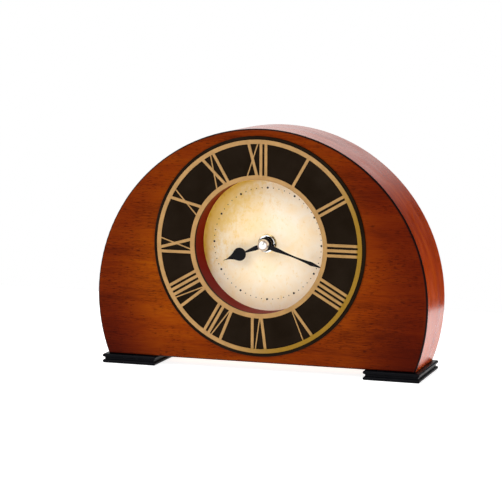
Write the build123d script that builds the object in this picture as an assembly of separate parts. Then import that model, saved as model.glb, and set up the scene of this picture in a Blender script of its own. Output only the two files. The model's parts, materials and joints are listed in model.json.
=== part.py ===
"""Half-round mantel clock: wooden case, pierced chapter ring, recessed dial and a quartz movement.

Row frame, in millimetres: X to the right seen from the front, Y to the back, Z up.
The origin is on the surface the clock stands on, below the middle of the case.
Depths are Y values; a slab lies between a front and a back depth.
"""

import math
import os

from build123d import *

# ---------------------------------------------------------------- case, driving sizes
CASE_WIDTH = 228.6
CASE_DEPTH = 50.0
ARC_CENTRE_RISE = 41.1  # arc centre above the underside of the case
DIAL_RISE = 77.6  # dial centre above the underside of the case
FRONT_BOARD = 19.0
HOOP_WALL = 10.0
BASE_BOARD = 10.0
BACK_PANEL = 3.2
BACK_LEDGE = 5.0  # width of the rebate that the back panel sits in
RIM_VENEER = 0.6
FRONT_LIP = 2.4  # solid wood left in front of the rim veneer
EDGE_ROUND = 1.6
DIAL_BORE_RADIUS = 45.2
ACCESS_MARGIN = 4.8  # access hole in the back, wider than the dial bore
PANEL_CLEARANCE = 0.3

# ---------------------------------------------------------------- feet
FOOT_HEIGHT = 6.4
FOOT_WIDTH = 38.0
FOOT_SIDE_OVERHANG = 3.7  # beyond the ends of the case's underside
FOOT_OVERHANG = 2.0  # beyond the case, front and back
FOOT_BEAD = 2.5  # height of each half-round bead
FOOT_COVE_DEPTH = 1.3
FOOT_SCREW_INSET = 13.4  # from the foot's inner end

# ---------------------------------------------------------------- fasteners
BACK_SCREW = {"head_radius": 2.6, "head_height": 1.6, "shank_radius": 1.35, "length": 11.0}
DIAL_SCREW = {"head_radius": 2.1, "head_height": 1.1, "shank_radius": 1.0, "length": 7.0}
FOOT_SCREW = {"head_radius": 3.1, "head_height": 1.9, "shank_radius": 1.6, "length": 12.0}
FOOT_SCREW_SINK = 1.0  # head below the underside of the foot
SCREW_HOLE_SPARE = 1.0  # hole deeper than the screw
BACK_SCREW_ANGLES = (-66.0, -24.0, 24.0, 66.0)  # degrees from the top of the arch
BACK_SCREW_BASE_X = 58.0
DIAL_SCREW_ANGLES = (45.0, 135.0, 225.0, 315.0)

# ---------------------------------------------------------------- chapter ring
RING_LIP = 0.8  # ring opening smaller than the bore, on the radius
INNER_BAND = 3.0
NUMERAL_HEIGHT = 20.6
OUTER_BAND = 2.8
RING_BORDER = 2.3
RING_BACKING = 1.1
RING_EDGE_ROUND = 0.4
FRETWORK = 0.5
THICK_STROKE = 1.9
THIN_STROKE = 0.75
STROKE_GAP = 1.5
LETTER_GAP = 0.9
V_WIDTH = 8.2
X_WIDTH = 7.6
HOUR_NUMERALS = ("XII", "I", "II", "III", "IIII", "V", "VI", "VII", "VIII", "IX", "X", "XI")
NUMERAL_SHIFTS = {  # how far a numeral with a V or an X stands to the left of centre
    "V": 1.0,
    "VI": 1.0,
    "VII": 2.6,
    "VIII": 1.6,
    "IX": 1.2,
    "X": 1.0,
    "XI": 1.0,
    "XII": 0.8,
}

# ---------------------------------------------------------------- dial
DIAL_MARGIN = 8.8  # dial plate wider than the bore, on the radius
DIAL_PLATE = 1.0
DIAL_PAPER = 0.2
PAPER_MARGIN = 0.6

# ---------------------------------------------------------------- hands
MINUTE_HAND_GAP = 2.6  # tip to the wall of the bore
HOUR_HAND_SHARE = 0.733  # length over that of the minute hand
HAND_SHEET = 0.4
HOUR_HAND_OUT = 5.95  # front of the hour hand before the dial
MINUTE_HAND_OUT = 7.9
HOUR_HUB_RADIUS = 4.7
MINUTE_HUB_RADIUS = 4.3
HOUR_COLLAR = (1.0, 1.4)  # wall and length of the collar behind the hand
MINUTE_COLLAR_WALL = 1.4
HAND_GAP = 0.35  # between the minute hand's collar and the hour hand
HOUR_ANGLE = 247.6  # degrees clockwise from XII, seventeen or eighteen minutes past eight
MINUTE_ANGLE = 108.8
HOUR_BULB = (0.612, 4.45)  # the bulb's place as a share of the length, and its radius
HOUR_FLANK = (1.25, 0.824)  # half width near the tip, and its share of the length
HOUR_BELLY_END = 7.4
MINUTE_BELLY_END = 9.2
MINUTE_WAIST = (0.75, 0.66)
MINUTE_LEAF = (1.35, 0.815)
HAND_NECK = 0.55
HAND_TIP = 0.12
STEM_BELLY = 1.55
NUT_CAP_RADIUS = 3.9
NUT_CAP_LENGTH = 4.9
NUT_CAP_FLAT = 0.3
NUT_CAP_CHAMFER = 0.25

# ---------------------------------------------------------------- fits
CLEARANCE = 0.06
PIPE_FIT = 0.08  # between the arbor, the hour pipe and the bushing

# ---------------------------------------------------------------- movement case
MOVEMENT_WIDTH = 56.0
MOVEMENT_TOP = 28.0  # upper wall above the hand axis
TRAIN_DROP = 10.8  # floor of the wheel chamber below the hand axis
MOVEMENT_DEPTH = 16.4
SHELL_DEPTH = 9.0
SHELL_WALL = 1.2
SHELL_FLOOR = 1.4
SHELL_CORNER = 3.0
PARTITION = 1.0
BAY_WALL_RISE = 4.6  # walls of the battery bay above the battery's axis
COVER_GAP = 0.1
COVER_ROUND = 0.6
GASKET = (9.0, 0.8)  # radius and thickness
POSTS = ((-13.0, -5.0), (0.0, -7.1), (12.5, 7.0), (-8.5, 14.5))
POST_RADIUS = 1.2
BRIDGE = (12.9, 13.9)
BRIDGE_MARGIN = 0.9

# ---------------------------------------------------------------- bushing and its nut
BUSHING_WALL = 1.3
BUSHING_OUT = 3.4  # front of the bushing before the dial
BUSHING_FLANGE = 0.9
BUSHING_LIP = 0.5
THREAD_PITCH = 0.75
THREAD_DEPTH = 0.25
WASHER = (2.6, 0.5)  # wall and thickness
NUT = (2.0, 2.2)
NUT_ROUND = 0.5
NUT_SLOTS = 4
NUT_SLOT = (1.1, 1.8)

# ---------------------------------------------------------------- hand work
MINUTE_ARBOR_RADIUS = 1.66
PIPE_WALL = 0.78
ARBOR_TAIL = (1.2, 5.5)  # radius and the level of its end
ARBOR_TIP = (1.2, 2.6)  # radius and length of the threaded tip
NUT_BORE = 1.3
MOTION_STUD = (0.42, 4.35)
SETTING_SHAFT_RADIUS = 1.3
KNOB_RADIUS = 4.5
KNOB_LENGTH = 3.2
KNOB_GAP = 0.4
KNOB_SOCKET = 1.0  # solid back of the knob
KNOB_CHAMFER = 0.3
KNOB_SCALLOPS = 20
KNOB_SCALLOP = (0.5, 0.25)  # radius, and its centre outside the knob
SHAFT_HOLE_CLEARANCE = 0.15

# ---------------------------------------------------------------- going train
ARBOR_RADIUS = 0.3
PIVOT_START = 0.5  # arbors run in blind holes in the shell's floor
HUB = 0.9  # radius of the sleeve between a wheel and its pinion
SLIM_HUB = 0.5
MAGNET_RADIUS = 2.6

# Levels of wheels, counted back from the movement's front face: front and back of each.
HOUR_LEVELS = (1.6, 2.6)
MOTION_PINION_LEVELS = (1.7, 2.6)
CANNON_LEVELS = (3.0, 4.1)
MOTION_LEVELS = (3.1, 4.0)
CENTRE_PINION_LEVELS = (4.4, 5.4)
CENTRE_LEVELS = (4.5, 5.3)
THIRD_PINION_LEVELS = (6.0, 7.0)
THIRD_LEVELS = (6.1, 6.9)
SECONDS_PINION_LEVELS = (7.3, 8.3)
SECONDS_LEVELS = (7.4, 8.2)
ROTOR_PINION_LEVELS = (8.6, 9.6)
INTERMEDIATE_LEVELS = (8.7, 9.5)
MAGNET_LEVELS = (10.0, 12.4)
SECONDS_ARBOR_START = 4.9
ARBOR_SOCKET = (4.7, 6.0)  # hole in the minute arbor for the seconds arbor's pivot

# Directions from one arbor to the next, anticlockwise from +X.
THIRD_DIRECTION = 150.0
MOTION_DIRECTION = -20.0
INTERMEDIATE_DIRECTION = 75.0
ROTOR_DIRECTION = 90.0


def matched(leaves, teeth, pair):
    """A gear pair with the same distance between its arbors as another pair."""
    return leaves, teeth, (pair[0] + pair[1]) * pair[2] / (leaves + teeth)


# Gear pairs: (pinion leaves, wheel teeth, module). Each pinion drives or is driven by its wheel.
ROTOR_PAIR = (6, 36, 0.20)
SECONDS_PAIR = (12, 60, 0.18)
THIRD_PAIR = (8, 60, 0.18)
CENTRE_PAIR = matched(8, 64, THIRD_PAIR)
CANNON_PAIR = (12, 36, 0.25)
HOUR_PAIR = matched(10, 40, CANNON_PAIR)
PINION_ADDENDUM = 0.7
WHEEL_ADDENDUM = 0.9
DEDENDUM = 1.35
BACKLASH = 0.26

# ---------------------------------------------------------------- electrics
STATOR_LEVELS = (10.7, 11.7)
STATOR_RING = (5.0, 3.0)
STATOR_BAR = 3.6
LIMBS = ((-16.0, -12.0), (14.0, 18.0))
LIMB_RISE = 1.6
COIL_DROP = 4.6  # coil axis below the inside of the upper wall
COIL_LEVEL = 10.2
COIL_X = (-10.0, 12.0)
COIL_RADIUS = 3.5
CORE = (2.8, 1.0)  # height and thickness
BOBBIN_RADIUS = 2.1
BOBBIN_FLANGE = (3.8, 0.8)
BOARD_LEVELS = (6.0, 6.8)
BOARD_WIDTH = 17.2
BOARD_Z = (9.4, 18.0)
BOARD_POST_RADIUS = 1.3
CRYSTAL = (1.45, 6.2)  # radius and length
CHIP_DOME = (3.2, 2.2)  # radius of the ball, and its centre under the board's rear face
STRIP = 0.4  # thickness of the contact strips
STRIP_LEVELS = (4.6, 6.0)
STRIP_GAP = 0.08
STRIP_SLOT = 0.3

# ---------------------------------------------------------------- battery
BATTERY_RADIUS = 7.25
BATTERY_LENGTH = 50.5
BATTERY_NUB = (2.7, 1.3)  # radius and length of the positive cap
BATTERY_ROUND = 0.5
BATTERY_GAP = 0.25
BATTERY_END_GAP = 0.07
SLEEVE = 0.25
SLEEVE_MARGIN = 0.7

# ---------------------------------------------------------------- worked-out places
CASE_RADIUS = CASE_WIDTH / 2
FRONT = -CASE_DEPTH / 2
BACK = CASE_DEPTH / 2
BOARD_BACK = FRONT + FRONT_BOARD
CASE_UNDER = FOOT_HEIGHT
ARC_Z = CASE_UNDER + ARC_CENTRE_RISE
DIAL_Z = CASE_UNDER + DIAL_RISE
CORE_RADIUS = CASE_RADIUS - RIM_VENEER
HOOP_INNER = CORE_RADIUS - HOOP_WALL
LEDGE_RADIUS = CORE_RADIUS - BACK_LEDGE
LEDGE_Z = CASE_UNDER + BACK_LEDGE
PANEL_FRONT = BACK - BACK_PANEL
ACCESS_RADIUS = DIAL_BORE_RADIUS + ACCESS_MARGIN
FOOT_OUTER_X = math.sqrt(CASE_RADIUS**2 - ARC_CENTRE_RISE**2) + FOOT_SIDE_OVERHANG
FOOT_INNER_X = FOOT_OUTER_X - FOOT_WIDTH
FOOT_SCREW_X = FOOT_INNER_X + FOOT_SCREW_INSET
FOOT_SCREW_DEPTHS = ((FRONT + BOARD_BACK) / 2, (BOARD_BACK + BACK) / 2)
RING_INNER_RADIUS = DIAL_BORE_RADIUS - RING_LIP
NUMERAL_LOW = RING_INNER_RADIUS + INNER_BAND
NUMERAL_HIGH = NUMERAL_LOW + NUMERAL_HEIGHT
FRETWORK_RADIUS = NUMERAL_HIGH + OUTER_BAND
RING_OUTER_RADIUS = FRETWORK_RADIUS + RING_BORDER
RING_FRONT = FRONT - RING_BACKING - FRETWORK
DIAL_RADIUS = DIAL_BORE_RADIUS + DIAL_MARGIN
DIAL_SCREW_RADIUS = (DIAL_BORE_RADIUS + DIAL_RADIUS) / 2
PAPER_BACK = BOARD_BACK + DIAL_PAPER
PLATE_BACK = PAPER_BACK + DIAL_PLATE
MOVEMENT_FRONT = PLATE_BACK + GASKET[1]
HALF_WIDTH = MOVEMENT_WIDTH / 2
HOUR_PIPE_BORE = MINUTE_ARBOR_RADIUS + PIPE_FIT
HOUR_PIPE_RADIUS = HOUR_PIPE_BORE + PIPE_WALL
BUSHING_BORE = HOUR_PIPE_RADIUS + PIPE_FIT
BUSHING_RADIUS = BUSHING_BORE + BUSHING_WALL
BUSHING_END = BOARD_BACK - BUSHING_OUT
HOUR_HAND_FRONT = BOARD_BACK - HOUR_HAND_OUT
MINUTE_HAND_FRONT = BOARD_BACK - MINUTE_HAND_OUT
MINUTE_HAND_LENGTH = DIAL_BORE_RADIUS - MINUTE_HAND_GAP
HOUR_HAND_LENGTH = HOUR_HAND_SHARE * MINUTE_HAND_LENGTH
PARTITION_Z = -TRAIN_DROP - PARTITION
BATTERY_Z = PARTITION_Z - BATTERY_GAP - BATTERY_RADIUS
MOVEMENT_LOW = BATTERY_Z - BATTERY_RADIUS - BATTERY_GAP - SHELL_WALL
BATTERY_DEPTH = SHELL_FLOOR + BATTERY_GAP + BATTERY_RADIUS
BAY_DEPTH = BATTERY_DEPTH + BAY_WALL_RISE
PAD_LEVELS = (BATTERY_DEPTH - 0.65 * BATTERY_RADIUS, BATTERY_DEPTH + 0.5 * BATTERY_RADIUS)
SPRING_LEVELS = (BATTERY_DEPTH - 0.3 * BATTERY_RADIUS, BATTERY_DEPTH + 0.3 * BATTERY_RADIUS)
PAD_HALF = 0.69 * BATTERY_RADIUS
LEFT_STRIP = -HALF_WIDTH + SHELL_WALL + STRIP_GAP
RIGHT_STRIP = HALF_WIDTH - SHELL_WALL - STRIP_GAP - STRIP
BOARD_X = (RIGHT_STRIP - 0.12 - BOARD_WIDTH, RIGHT_STRIP - 0.12)
BOARD_POSTS = ((BOARD_X[1] - 2.2, BOARD_Z[0] + 2.1), (BOARD_X[0] + 2.0, BOARD_Z[1] - 1.6))
CLIMB_X = BOARD_X[1] - 3.2
COIL_Z = MOVEMENT_TOP - SHELL_WALL - COIL_DROP
BATTERY_X = (RIGHT_STRIP - BATTERY_END_GAP - BATTERY_LENGTH, RIGHT_STRIP - BATTERY_END_GAP)
FLANGE_RADIUS = BUSHING_RADIUS + BUSHING_FLANGE
KNOB_LEVELS = (MOVEMENT_DEPTH + KNOB_GAP, MOVEMENT_DEPTH + KNOB_GAP + KNOB_LENGTH)
SHAFT_END = KNOB_LEVELS[1] - KNOB_SOCKET


def slab(outline, front, back):
    """Extrudes an outline drawn in X and Z between two depths."""
    return extrude(Plane.XZ.offset(-back) * outline, amount=back - front)


def disc(radius, front, back, x=0.0, z=DIAL_Z):
    """A round slab about an axis along Y."""
    return slab(Pos(x, z) * Circle(radius), front, back)


def tube(outer, inner, front, back, x=0.0, z=DIAL_Z):
    """A round slab with a hole through it."""
    return slab(Pos(x, z) * (Circle(outer) - Circle(inner)), front, back)


def block(x_range, z_range, front, back):
    """A rectangular slab given by its X, Z and depth ranges."""
    width, height = x_range[1] - x_range[0], z_range[1] - z_range[0]
    middle = Pos(sum(x_range) / 2, sum(z_range) / 2)
    return slab(middle * Rectangle(width, height), front, back)


def train(level):
    """Depth of a level in the movement, counted from the movement's front face."""
    return MOVEMENT_FRONT + level


def clock_point(radius, degrees):
    """X and Z of a point on the dial, the angle counted clockwise from XII."""
    turn = math.radians(degrees)
    return radius * math.sin(turn), DIAL_Z + radius * math.cos(turn)


def arch(radius, underside):
    """The half-round case outline: a disc cut off level at its underside."""
    below = Pos(0, underside - CASE_RADIUS) * Rectangle(4 * CASE_RADIUS, 2 * CASE_RADIUS)
    return Pos(0, ARC_Z) * Circle(radius) - below


def outer_edges(shape, depth):
    """Edges of the outer outline that lie at one depth."""
    boxes = [(edge, edge.bounding_box()) for edge in shape.edges()]
    return [e for e, box in boxes if abs(box.min.Y - depth) < 1e-4 and abs(box.max.Y - depth) < 1e-4]


# ---------------------------------------------------------------- fasteners
def screw(head_radius, head_height, shank_radius, length, countersunk=False):
    """A wood screw on +Z, its head's top at the origin and its point below, with a cross slot."""
    if countersunk:
        head = Pos(0, 0, -head_height / 2) * Cone(shank_radius, head_radius, head_height)
    else:
        head = Pos(0, 0, -head_height / 2) * Cylinder(head_radius, head_height)
        head = fillet(head.edges().filter_by(GeomType.CIRCLE).sort_by(Axis.Z)[-1], 0.45 * head_height)
    point = 2.2 * shank_radius
    straight = head_height + length - point
    shank = Pos(0, 0, -straight / 2) * Cylinder(shank_radius, straight)
    tip = Pos(0, 0, -straight - point / 2) * Cone(0.1 * shank_radius, shank_radius, point)
    slot = Box(1.3 * head_radius, 0.22 * head_radius, head_height)
    cross = slot + Rot(0, 0, 90) * slot
    return head + shank + tip - cross


def back_screw_places():
    """X and Z of the screws that hold the back panel."""
    ring = (LEDGE_RADIUS + HOOP_INNER) / 2
    arch_places = [
        (ring * math.sin(math.radians(a)), ARC_Z + ring * math.cos(math.radians(a)))
        for a in BACK_SCREW_ANGLES
    ]
    base_z = (LEDGE_Z + CASE_UNDER + BASE_BOARD) / 2
    return arch_places + [(x, base_z) for x in (-BACK_SCREW_BASE_X, BACK_SCREW_BASE_X)]


def back_holes():
    """Pilot holes for the back panel's screws."""
    reach = BACK_PANEL + BACK_SCREW["length"] + SCREW_HOLE_SPARE
    radius = BACK_SCREW["shank_radius"] + CLEARANCE
    return [disc(radius, BACK - reach, BACK + 1, x, z) for x, z in back_screw_places()]


def dial_holes():
    """Holes for the screws that hold the dial plate to the back of the front board."""
    radius = DIAL_SCREW["shank_radius"] + CLEARANCE
    reach = DIAL_SCREW["length"] + SCREW_HOLE_SPARE
    places = [clock_point(DIAL_SCREW_RADIUS, a) for a in DIAL_SCREW_ANGLES]
    return [disc(radius, PLATE_BACK - reach, PLATE_BACK + 1, x, z) for x, z in places]


def foot_holes():
    """Holes for the screws that come up through the feet into the case."""
    radius = FOOT_SCREW["shank_radius"] + CLEARANCE
    reach = FOOT_SCREW_SINK + FOOT_SCREW["head_height"] + FOOT_SCREW["length"] + SCREW_HOLE_SPARE
    return [
        Pos(side * FOOT_SCREW_X, depth, reach / 2) * Cylinder(radius, reach)
        for side in (-1, 1)
        for depth in FOOT_SCREW_DEPTHS
    ]


# ---------------------------------------------------------------- case
def front_panel():
    """Front board with the dial bore; its outer edge is rounded and steps down for the veneer."""
    lip = slab(arch(CASE_RADIUS, CASE_UNDER), FRONT, FRONT + FRONT_LIP)
    lip = fillet(outer_edges(lip, FRONT), EDGE_ROUND)
    body = slab(arch(CORE_RADIUS, CASE_UNDER), FRONT + FRONT_LIP, BOARD_BACK)
    board = lip + body - disc(DIAL_BORE_RADIUS, FRONT - 1, BOARD_BACK + 1)
    for hole in dial_holes() + foot_holes():
        board -= hole
    return board


def rim_hoop():
    """Bent wooden hoop behind the front board, rebated at the rear for the back panel."""
    ring = arch(CORE_RADIUS, CASE_UNDER) - Pos(0, ARC_Z) * Circle(HOOP_INNER)
    hoop = slab(ring, BOARD_BACK, BACK)
    hoop -= slab(arch(LEDGE_RADIUS, LEDGE_Z), PANEL_FRONT, BACK + 1)
    for hole in back_holes() + foot_holes():
        hoop -= hole
    return hoop


def base_board():
    """Board closing the case between the two ends of the hoop."""
    top = CASE_UNDER + BASE_BOARD
    strip = Pos(0, (CASE_UNDER + top) / 2) * Rectangle(2 * CASE_RADIUS, BASE_BOARD)
    board = slab(strip & (Pos(0, ARC_Z) * Circle(HOOP_INNER)), BOARD_BACK, BACK)
    board -= block((-CASE_RADIUS, CASE_RADIUS), (LEDGE_Z, top + 1), PANEL_FRONT, BACK + 1)
    for hole in back_holes() + foot_holes():
        board -= hole
    return board


def rim_veneer():
    """Thin veneer wrapped round the arch, over the joint of board and hoop."""
    band = arch(CASE_RADIUS, CASE_UNDER) - Pos(0, ARC_Z) * Circle(CORE_RADIUS)
    return slab(band, FRONT + FRONT_LIP, BACK)


def back_panel():
    """Thin back panel with a round access hole behind the movement."""
    outline = arch(LEDGE_RADIUS - PANEL_CLEARANCE, LEDGE_Z + PANEL_CLEARANCE)
    panel = slab(outline, PANEL_FRONT, BACK) - disc(ACCESS_RADIUS, PANEL_FRONT - 1, BACK + 1)
    for hole in back_holes():
        panel -= hole
    return panel


def back_screws():
    """Pan-head screws of the back panel, their heads bearing on it."""
    one = Rot(90, 0, 0) * Rot(180, 0, 0) * screw(**BACK_SCREW)
    head = BACK + BACK_SCREW["head_height"]
    return Compound(children=[Pos(x, head, z) * one for x, z in back_screw_places()])


def foot_profile(width):
    """Two half-round beads with a cove between them, seen end on."""
    core = Pos(0, FOOT_HEIGHT / 2) * Rectangle(width - 2 * FOOT_COVE_DEPTH, FOOT_HEIGHT)
    beads = [Pos(0, z) * SlotOverall(width, FOOT_BEAD) for z in (FOOT_BEAD / 2, FOOT_HEIGHT - FOOT_BEAD / 2)]
    return core + beads


def foot(side):
    """A moulded foot: the same bead and cove runs round its four sides."""
    depth = CASE_DEPTH + 2 * FOOT_OVERHANG
    across = extrude(Plane.XZ.offset(-depth / 2) * foot_profile(FOOT_WIDTH), amount=depth)
    along = extrude(Plane.YZ.offset(-FOOT_WIDTH / 2) * foot_profile(depth), amount=FOOT_WIDTH)
    shape = Pos(side * (FOOT_INNER_X + FOOT_WIDTH / 2), 0, 0) * (across & along)
    well = FOOT_SCREW_SINK + FOOT_SCREW["head_height"]
    for place in FOOT_SCREW_DEPTHS:
        sink = Pos(side * FOOT_SCREW_X, place, FOOT_SCREW_SINK / 2)
        shape -= sink * Cylinder(FOOT_SCREW["head_radius"] + CLEARANCE, FOOT_SCREW_SINK)
        cone = Cone(
            FOOT_SCREW["head_radius"] + CLEARANCE,
            FOOT_SCREW["shank_radius"] + CLEARANCE,
            FOOT_SCREW["head_height"],
        )
        shape -= Pos(side * FOOT_SCREW_X, place, (FOOT_SCREW_SINK + well) / 2) * cone
    for hole in foot_holes():
        shape -= hole
    return shape


def foot_screws():
    """Countersunk screws that come up through the feet."""
    one = Rot(180, 0, 0) * screw(countersunk=True, **FOOT_SCREW)
    places = [(side * FOOT_SCREW_X, depth) for side in (-1, 1) for depth in FOOT_SCREW_DEPTHS]
    return Compound(children=[Pos(x, depth, FOOT_SCREW_SINK) * one for x, depth in places])


# ---------------------------------------------------------------- chapter ring
def chapter_backing():
    """Flat black ring plate applied to the front board."""
    plate = tube(RING_OUTER_RADIUS, RING_INNER_RADIUS, FRONT - RING_BACKING, FRONT)
    rim = [
        e
        for e in plate.edges().filter_by(GeomType.CIRCLE)
        if e.radius > RING_OUTER_RADIUS - 1 and e.center().Y < FRONT - RING_BACKING / 2
    ]
    return fillet(rim, RING_EDGE_ROUND)


def stroke(outer_x, inner_x, width):
    """One straight stroke of a numeral above the dial centre, its ends under the two bands."""
    low, high = NUMERAL_LOW - INNER_BAND / 3, NUMERAL_HIGH + OUTER_BAND / 3
    slope = (outer_x - inner_x) / NUMERAL_HEIGHT
    foot_x, head_x = inner_x - slope * INNER_BAND / 3, outer_x + slope * OUTER_BAND / 3
    half = width / 2 * math.hypot(1, slope)
    corners = [(foot_x - half, low), (foot_x + half, low), (head_x + half, high), (head_x - half, high)]
    return make_face(Polyline(*corners, close=True))


def letter(name, left):
    """The strokes of one letter, its left edge at the given place."""
    thick, thin = THICK_STROKE / 2, THIN_STROKE / 2
    if name == "I":
        return [stroke(left + thick, left + thick, THICK_STROKE)]
    if name == "V":
        apex = left + V_WIDTH / 2
        return [
            stroke(left + thick, apex - thin, THICK_STROKE),
            stroke(left + V_WIDTH - thin, apex + thick, THIN_STROKE),
        ]
    right = left + X_WIDTH
    falling = stroke(left + thick, right - thick, THICK_STROKE)
    return [falling, stroke(right - thin, left + thin, THIN_STROKE)]


def numeral(word):
    """All strokes of a Roman numeral, upright above the dial centre."""
    widths = {"I": THICK_STROKE, "V": V_WIDTH, "X": X_WIDTH}
    gaps = [STROKE_GAP if a == b == "I" else LETTER_GAP for a, b in zip(word, word[1:])]
    left = -(sum(widths[c] for c in word) + sum(gaps)) / 2 - NUMERAL_SHIFTS.get(word, 0.0)
    strokes = []
    for c, gap in zip(word, gaps + [0.0]):
        strokes += letter(c, left)
        left += widths[c] + gap
    return strokes


def chapter_fretwork():
    """Pierced metal sheet: two bands joined by the strokes of the twelve numerals."""
    bands = Circle(FRETWORK_RADIUS) - Circle(NUMERAL_HIGH)
    bands += Circle(NUMERAL_LOW) - Circle(RING_INNER_RADIUS)
    for hour, word in enumerate(HOUR_NUMERALS):
        for part in numeral(word):
            bands += Rot(0, 0, -30 * hour) * part
    return slab(Pos(0, DIAL_Z) * bands, RING_FRONT, RING_FRONT + FRETWORK)


# ---------------------------------------------------------------- dial
def dial_plate():
    """Metal plate behind the front board, carrying the movement."""
    plate = tube(DIAL_RADIUS, BUSHING_RADIUS + CLEARANCE, PAPER_BACK, PLATE_BACK)
    for hole in dial_holes():
        plate -= hole
    return plate


def dial_paper():
    """Printed paper face laid on the dial plate."""
    paper = tube(DIAL_RADIUS - PAPER_MARGIN, BUSHING_RADIUS + CLEARANCE, BOARD_BACK, PAPER_BACK)
    for hole in dial_holes():
        paper -= hole
    return paper


def dial_screws():
    """Small pan-head screws that hold the dial plate."""
    one = Rot(90, 0, 0) * Rot(180, 0, 0) * screw(**DIAL_SCREW)
    head = PLATE_BACK + DIAL_SCREW["head_height"]
    places = [clock_point(DIAL_SCREW_RADIUS, a) for a in DIAL_SCREW_ANGLES]
    return Compound(children=[Pos(x, head, z) * one for x, z in places])


# ---------------------------------------------------------------- gears
def pitch_radius(teeth, module):
    """Pitch radius of a gear."""
    return teeth * module / 2


def gear_outline(teeth, module, phase, addendum):
    """Straight-sided clock teeth: radial flanks below the pitch circle, a blunt point above it."""
    pitch = pitch_radius(teeth, module)
    half = math.pi / teeth / 2 * (1 - BACKLASH)
    stations = (
        (pitch - DEDENDUM * module, 1.0),
        (pitch, 1.0),
        (pitch + 0.6 * addendum * module, 0.72),
        (pitch + addendum * module, 0.3),
    )
    points = []
    for tooth in range(teeth):
        middle = phase + 2 * math.pi * tooth / teeth
        rising = [(r, middle - half * share) for r, share in stations]
        falling = [(r, middle + half * share) for r, share in reversed(stations)]
        points += [(r * math.cos(a), r * math.sin(a)) for r, a in rising + falling]
    return make_face(Polyline(*points, close=True))


def place_from_axis(distance, degrees):
    """X and Z offsets from the dial axis, the angle counted anticlockwise from +X."""
    turn = math.radians(degrees)
    return distance * math.cos(turn), distance * math.sin(turn)


def centres(pair):
    """Distance between the arbors of a gear pair."""
    return pitch_radius(pair[0], pair[2]) + pitch_radius(pair[1], pair[2])


def mate_phase(teeth, phase, mate_teeth, direction):
    """Phase that meshes a mating gear, with direction the angle from the first gear to it."""
    return direction + math.pi + math.pi / mate_teeth - (phase - direction) * teeth / mate_teeth


AXIS = (0.0, 0.0)
THIRD = place_from_axis(centres(CENTRE_PAIR), THIRD_DIRECTION)
MOTION = place_from_axis(centres(CANNON_PAIR), MOTION_DIRECTION)
SETTING = place_from_axis(2 * centres(CANNON_PAIR), MOTION_DIRECTION)
INTERMEDIATE = place_from_axis(centres(SECONDS_PAIR), INTERMEDIATE_DIRECTION)
ROTOR_STEP = place_from_axis(centres(ROTOR_PAIR), ROTOR_DIRECTION)
ROTOR = (INTERMEDIATE[0] + ROTOR_STEP[0], INTERMEDIATE[1] + ROTOR_STEP[1])
MOTION_PHASE = mate_phase(CANNON_PAIR[0], 0.0, CANNON_PAIR[1], math.radians(MOTION_DIRECTION))


def gear(teeth, module, phase, addendum, levels, place):
    """A toothed disc at a place in the movement."""
    outline = Pos(place[0], DIAL_Z + place[1]) * gear_outline(teeth, module, phase, addendum)
    return slab(outline, train(levels[0]), train(levels[1]))


def pinion(pair, phase, levels, place):
    """The small gear of a pair."""
    return gear(pair[0], pair[2], phase, PINION_ADDENDUM, levels, place)


def wheel(pair, phase, levels, place):
    """The large gear of a pair."""
    return gear(pair[1], pair[2], phase, WHEEL_ADDENDUM, levels, place)


def rod(radius, levels, place):
    """A plain round stretch of an arbor."""
    return disc(radius, train(levels[0]), train(levels[1]), place[0], DIAL_Z + place[1])


def drilled(shape, radius, levels, place):
    """A shape with a round hole that runs a little past both levels."""
    return shape - rod(radius, (levels[0] - 0.1, levels[1] + 0.1), place)


def rotor():
    """Rotor arbor with its six-leaf pinion."""
    arbor = rod(ARBOR_RADIUS, (PIVOT_START, BRIDGE[1]), ROTOR)
    return arbor + pinion(ROTOR_PAIR, 0.0, ROTOR_PINION_LEVELS, ROTOR)


def rotor_magnet():
    """Round two-pole magnet on the rotor arbor."""
    return drilled(rod(MAGNET_RADIUS, MAGNET_LEVELS, ROTOR), ARBOR_RADIUS, MAGNET_LEVELS, ROTOR)


def intermediate_wheel():
    """First reduction: wheel driven by the rotor, pinion driving the seconds wheel."""
    phase = mate_phase(ROTOR_PAIR[0], 0.0, ROTOR_PAIR[1], math.radians(ROTOR_DIRECTION + 180))
    shape = rod(ARBOR_RADIUS, (PIVOT_START, BRIDGE[1]), INTERMEDIATE)
    shape += pinion(SECONDS_PAIR, 0.0, SECONDS_PINION_LEVELS, INTERMEDIATE)
    shape += rod(HUB, (SECONDS_PINION_LEVELS[1], INTERMEDIATE_LEVELS[0]), INTERMEDIATE)
    return shape + wheel(ROTOR_PAIR, phase, INTERMEDIATE_LEVELS, INTERMEDIATE)


def seconds_wheel():
    """Wheel turning once a minute, in line with the minute arbor."""
    back = math.radians(INTERMEDIATE_DIRECTION + 180)
    phase = mate_phase(SECONDS_PAIR[0], 0.0, SECONDS_PAIR[1], back)
    shape = rod(ARBOR_RADIUS, (SECONDS_ARBOR_START, BRIDGE[1]), AXIS)
    shape += pinion(THIRD_PAIR, 0.0, THIRD_PINION_LEVELS, AXIS)
    shape += rod(SLIM_HUB, (THIRD_PINION_LEVELS[1], SECONDS_LEVELS[0]), AXIS)
    return shape + wheel(SECONDS_PAIR, phase, SECONDS_LEVELS, AXIS)


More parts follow.
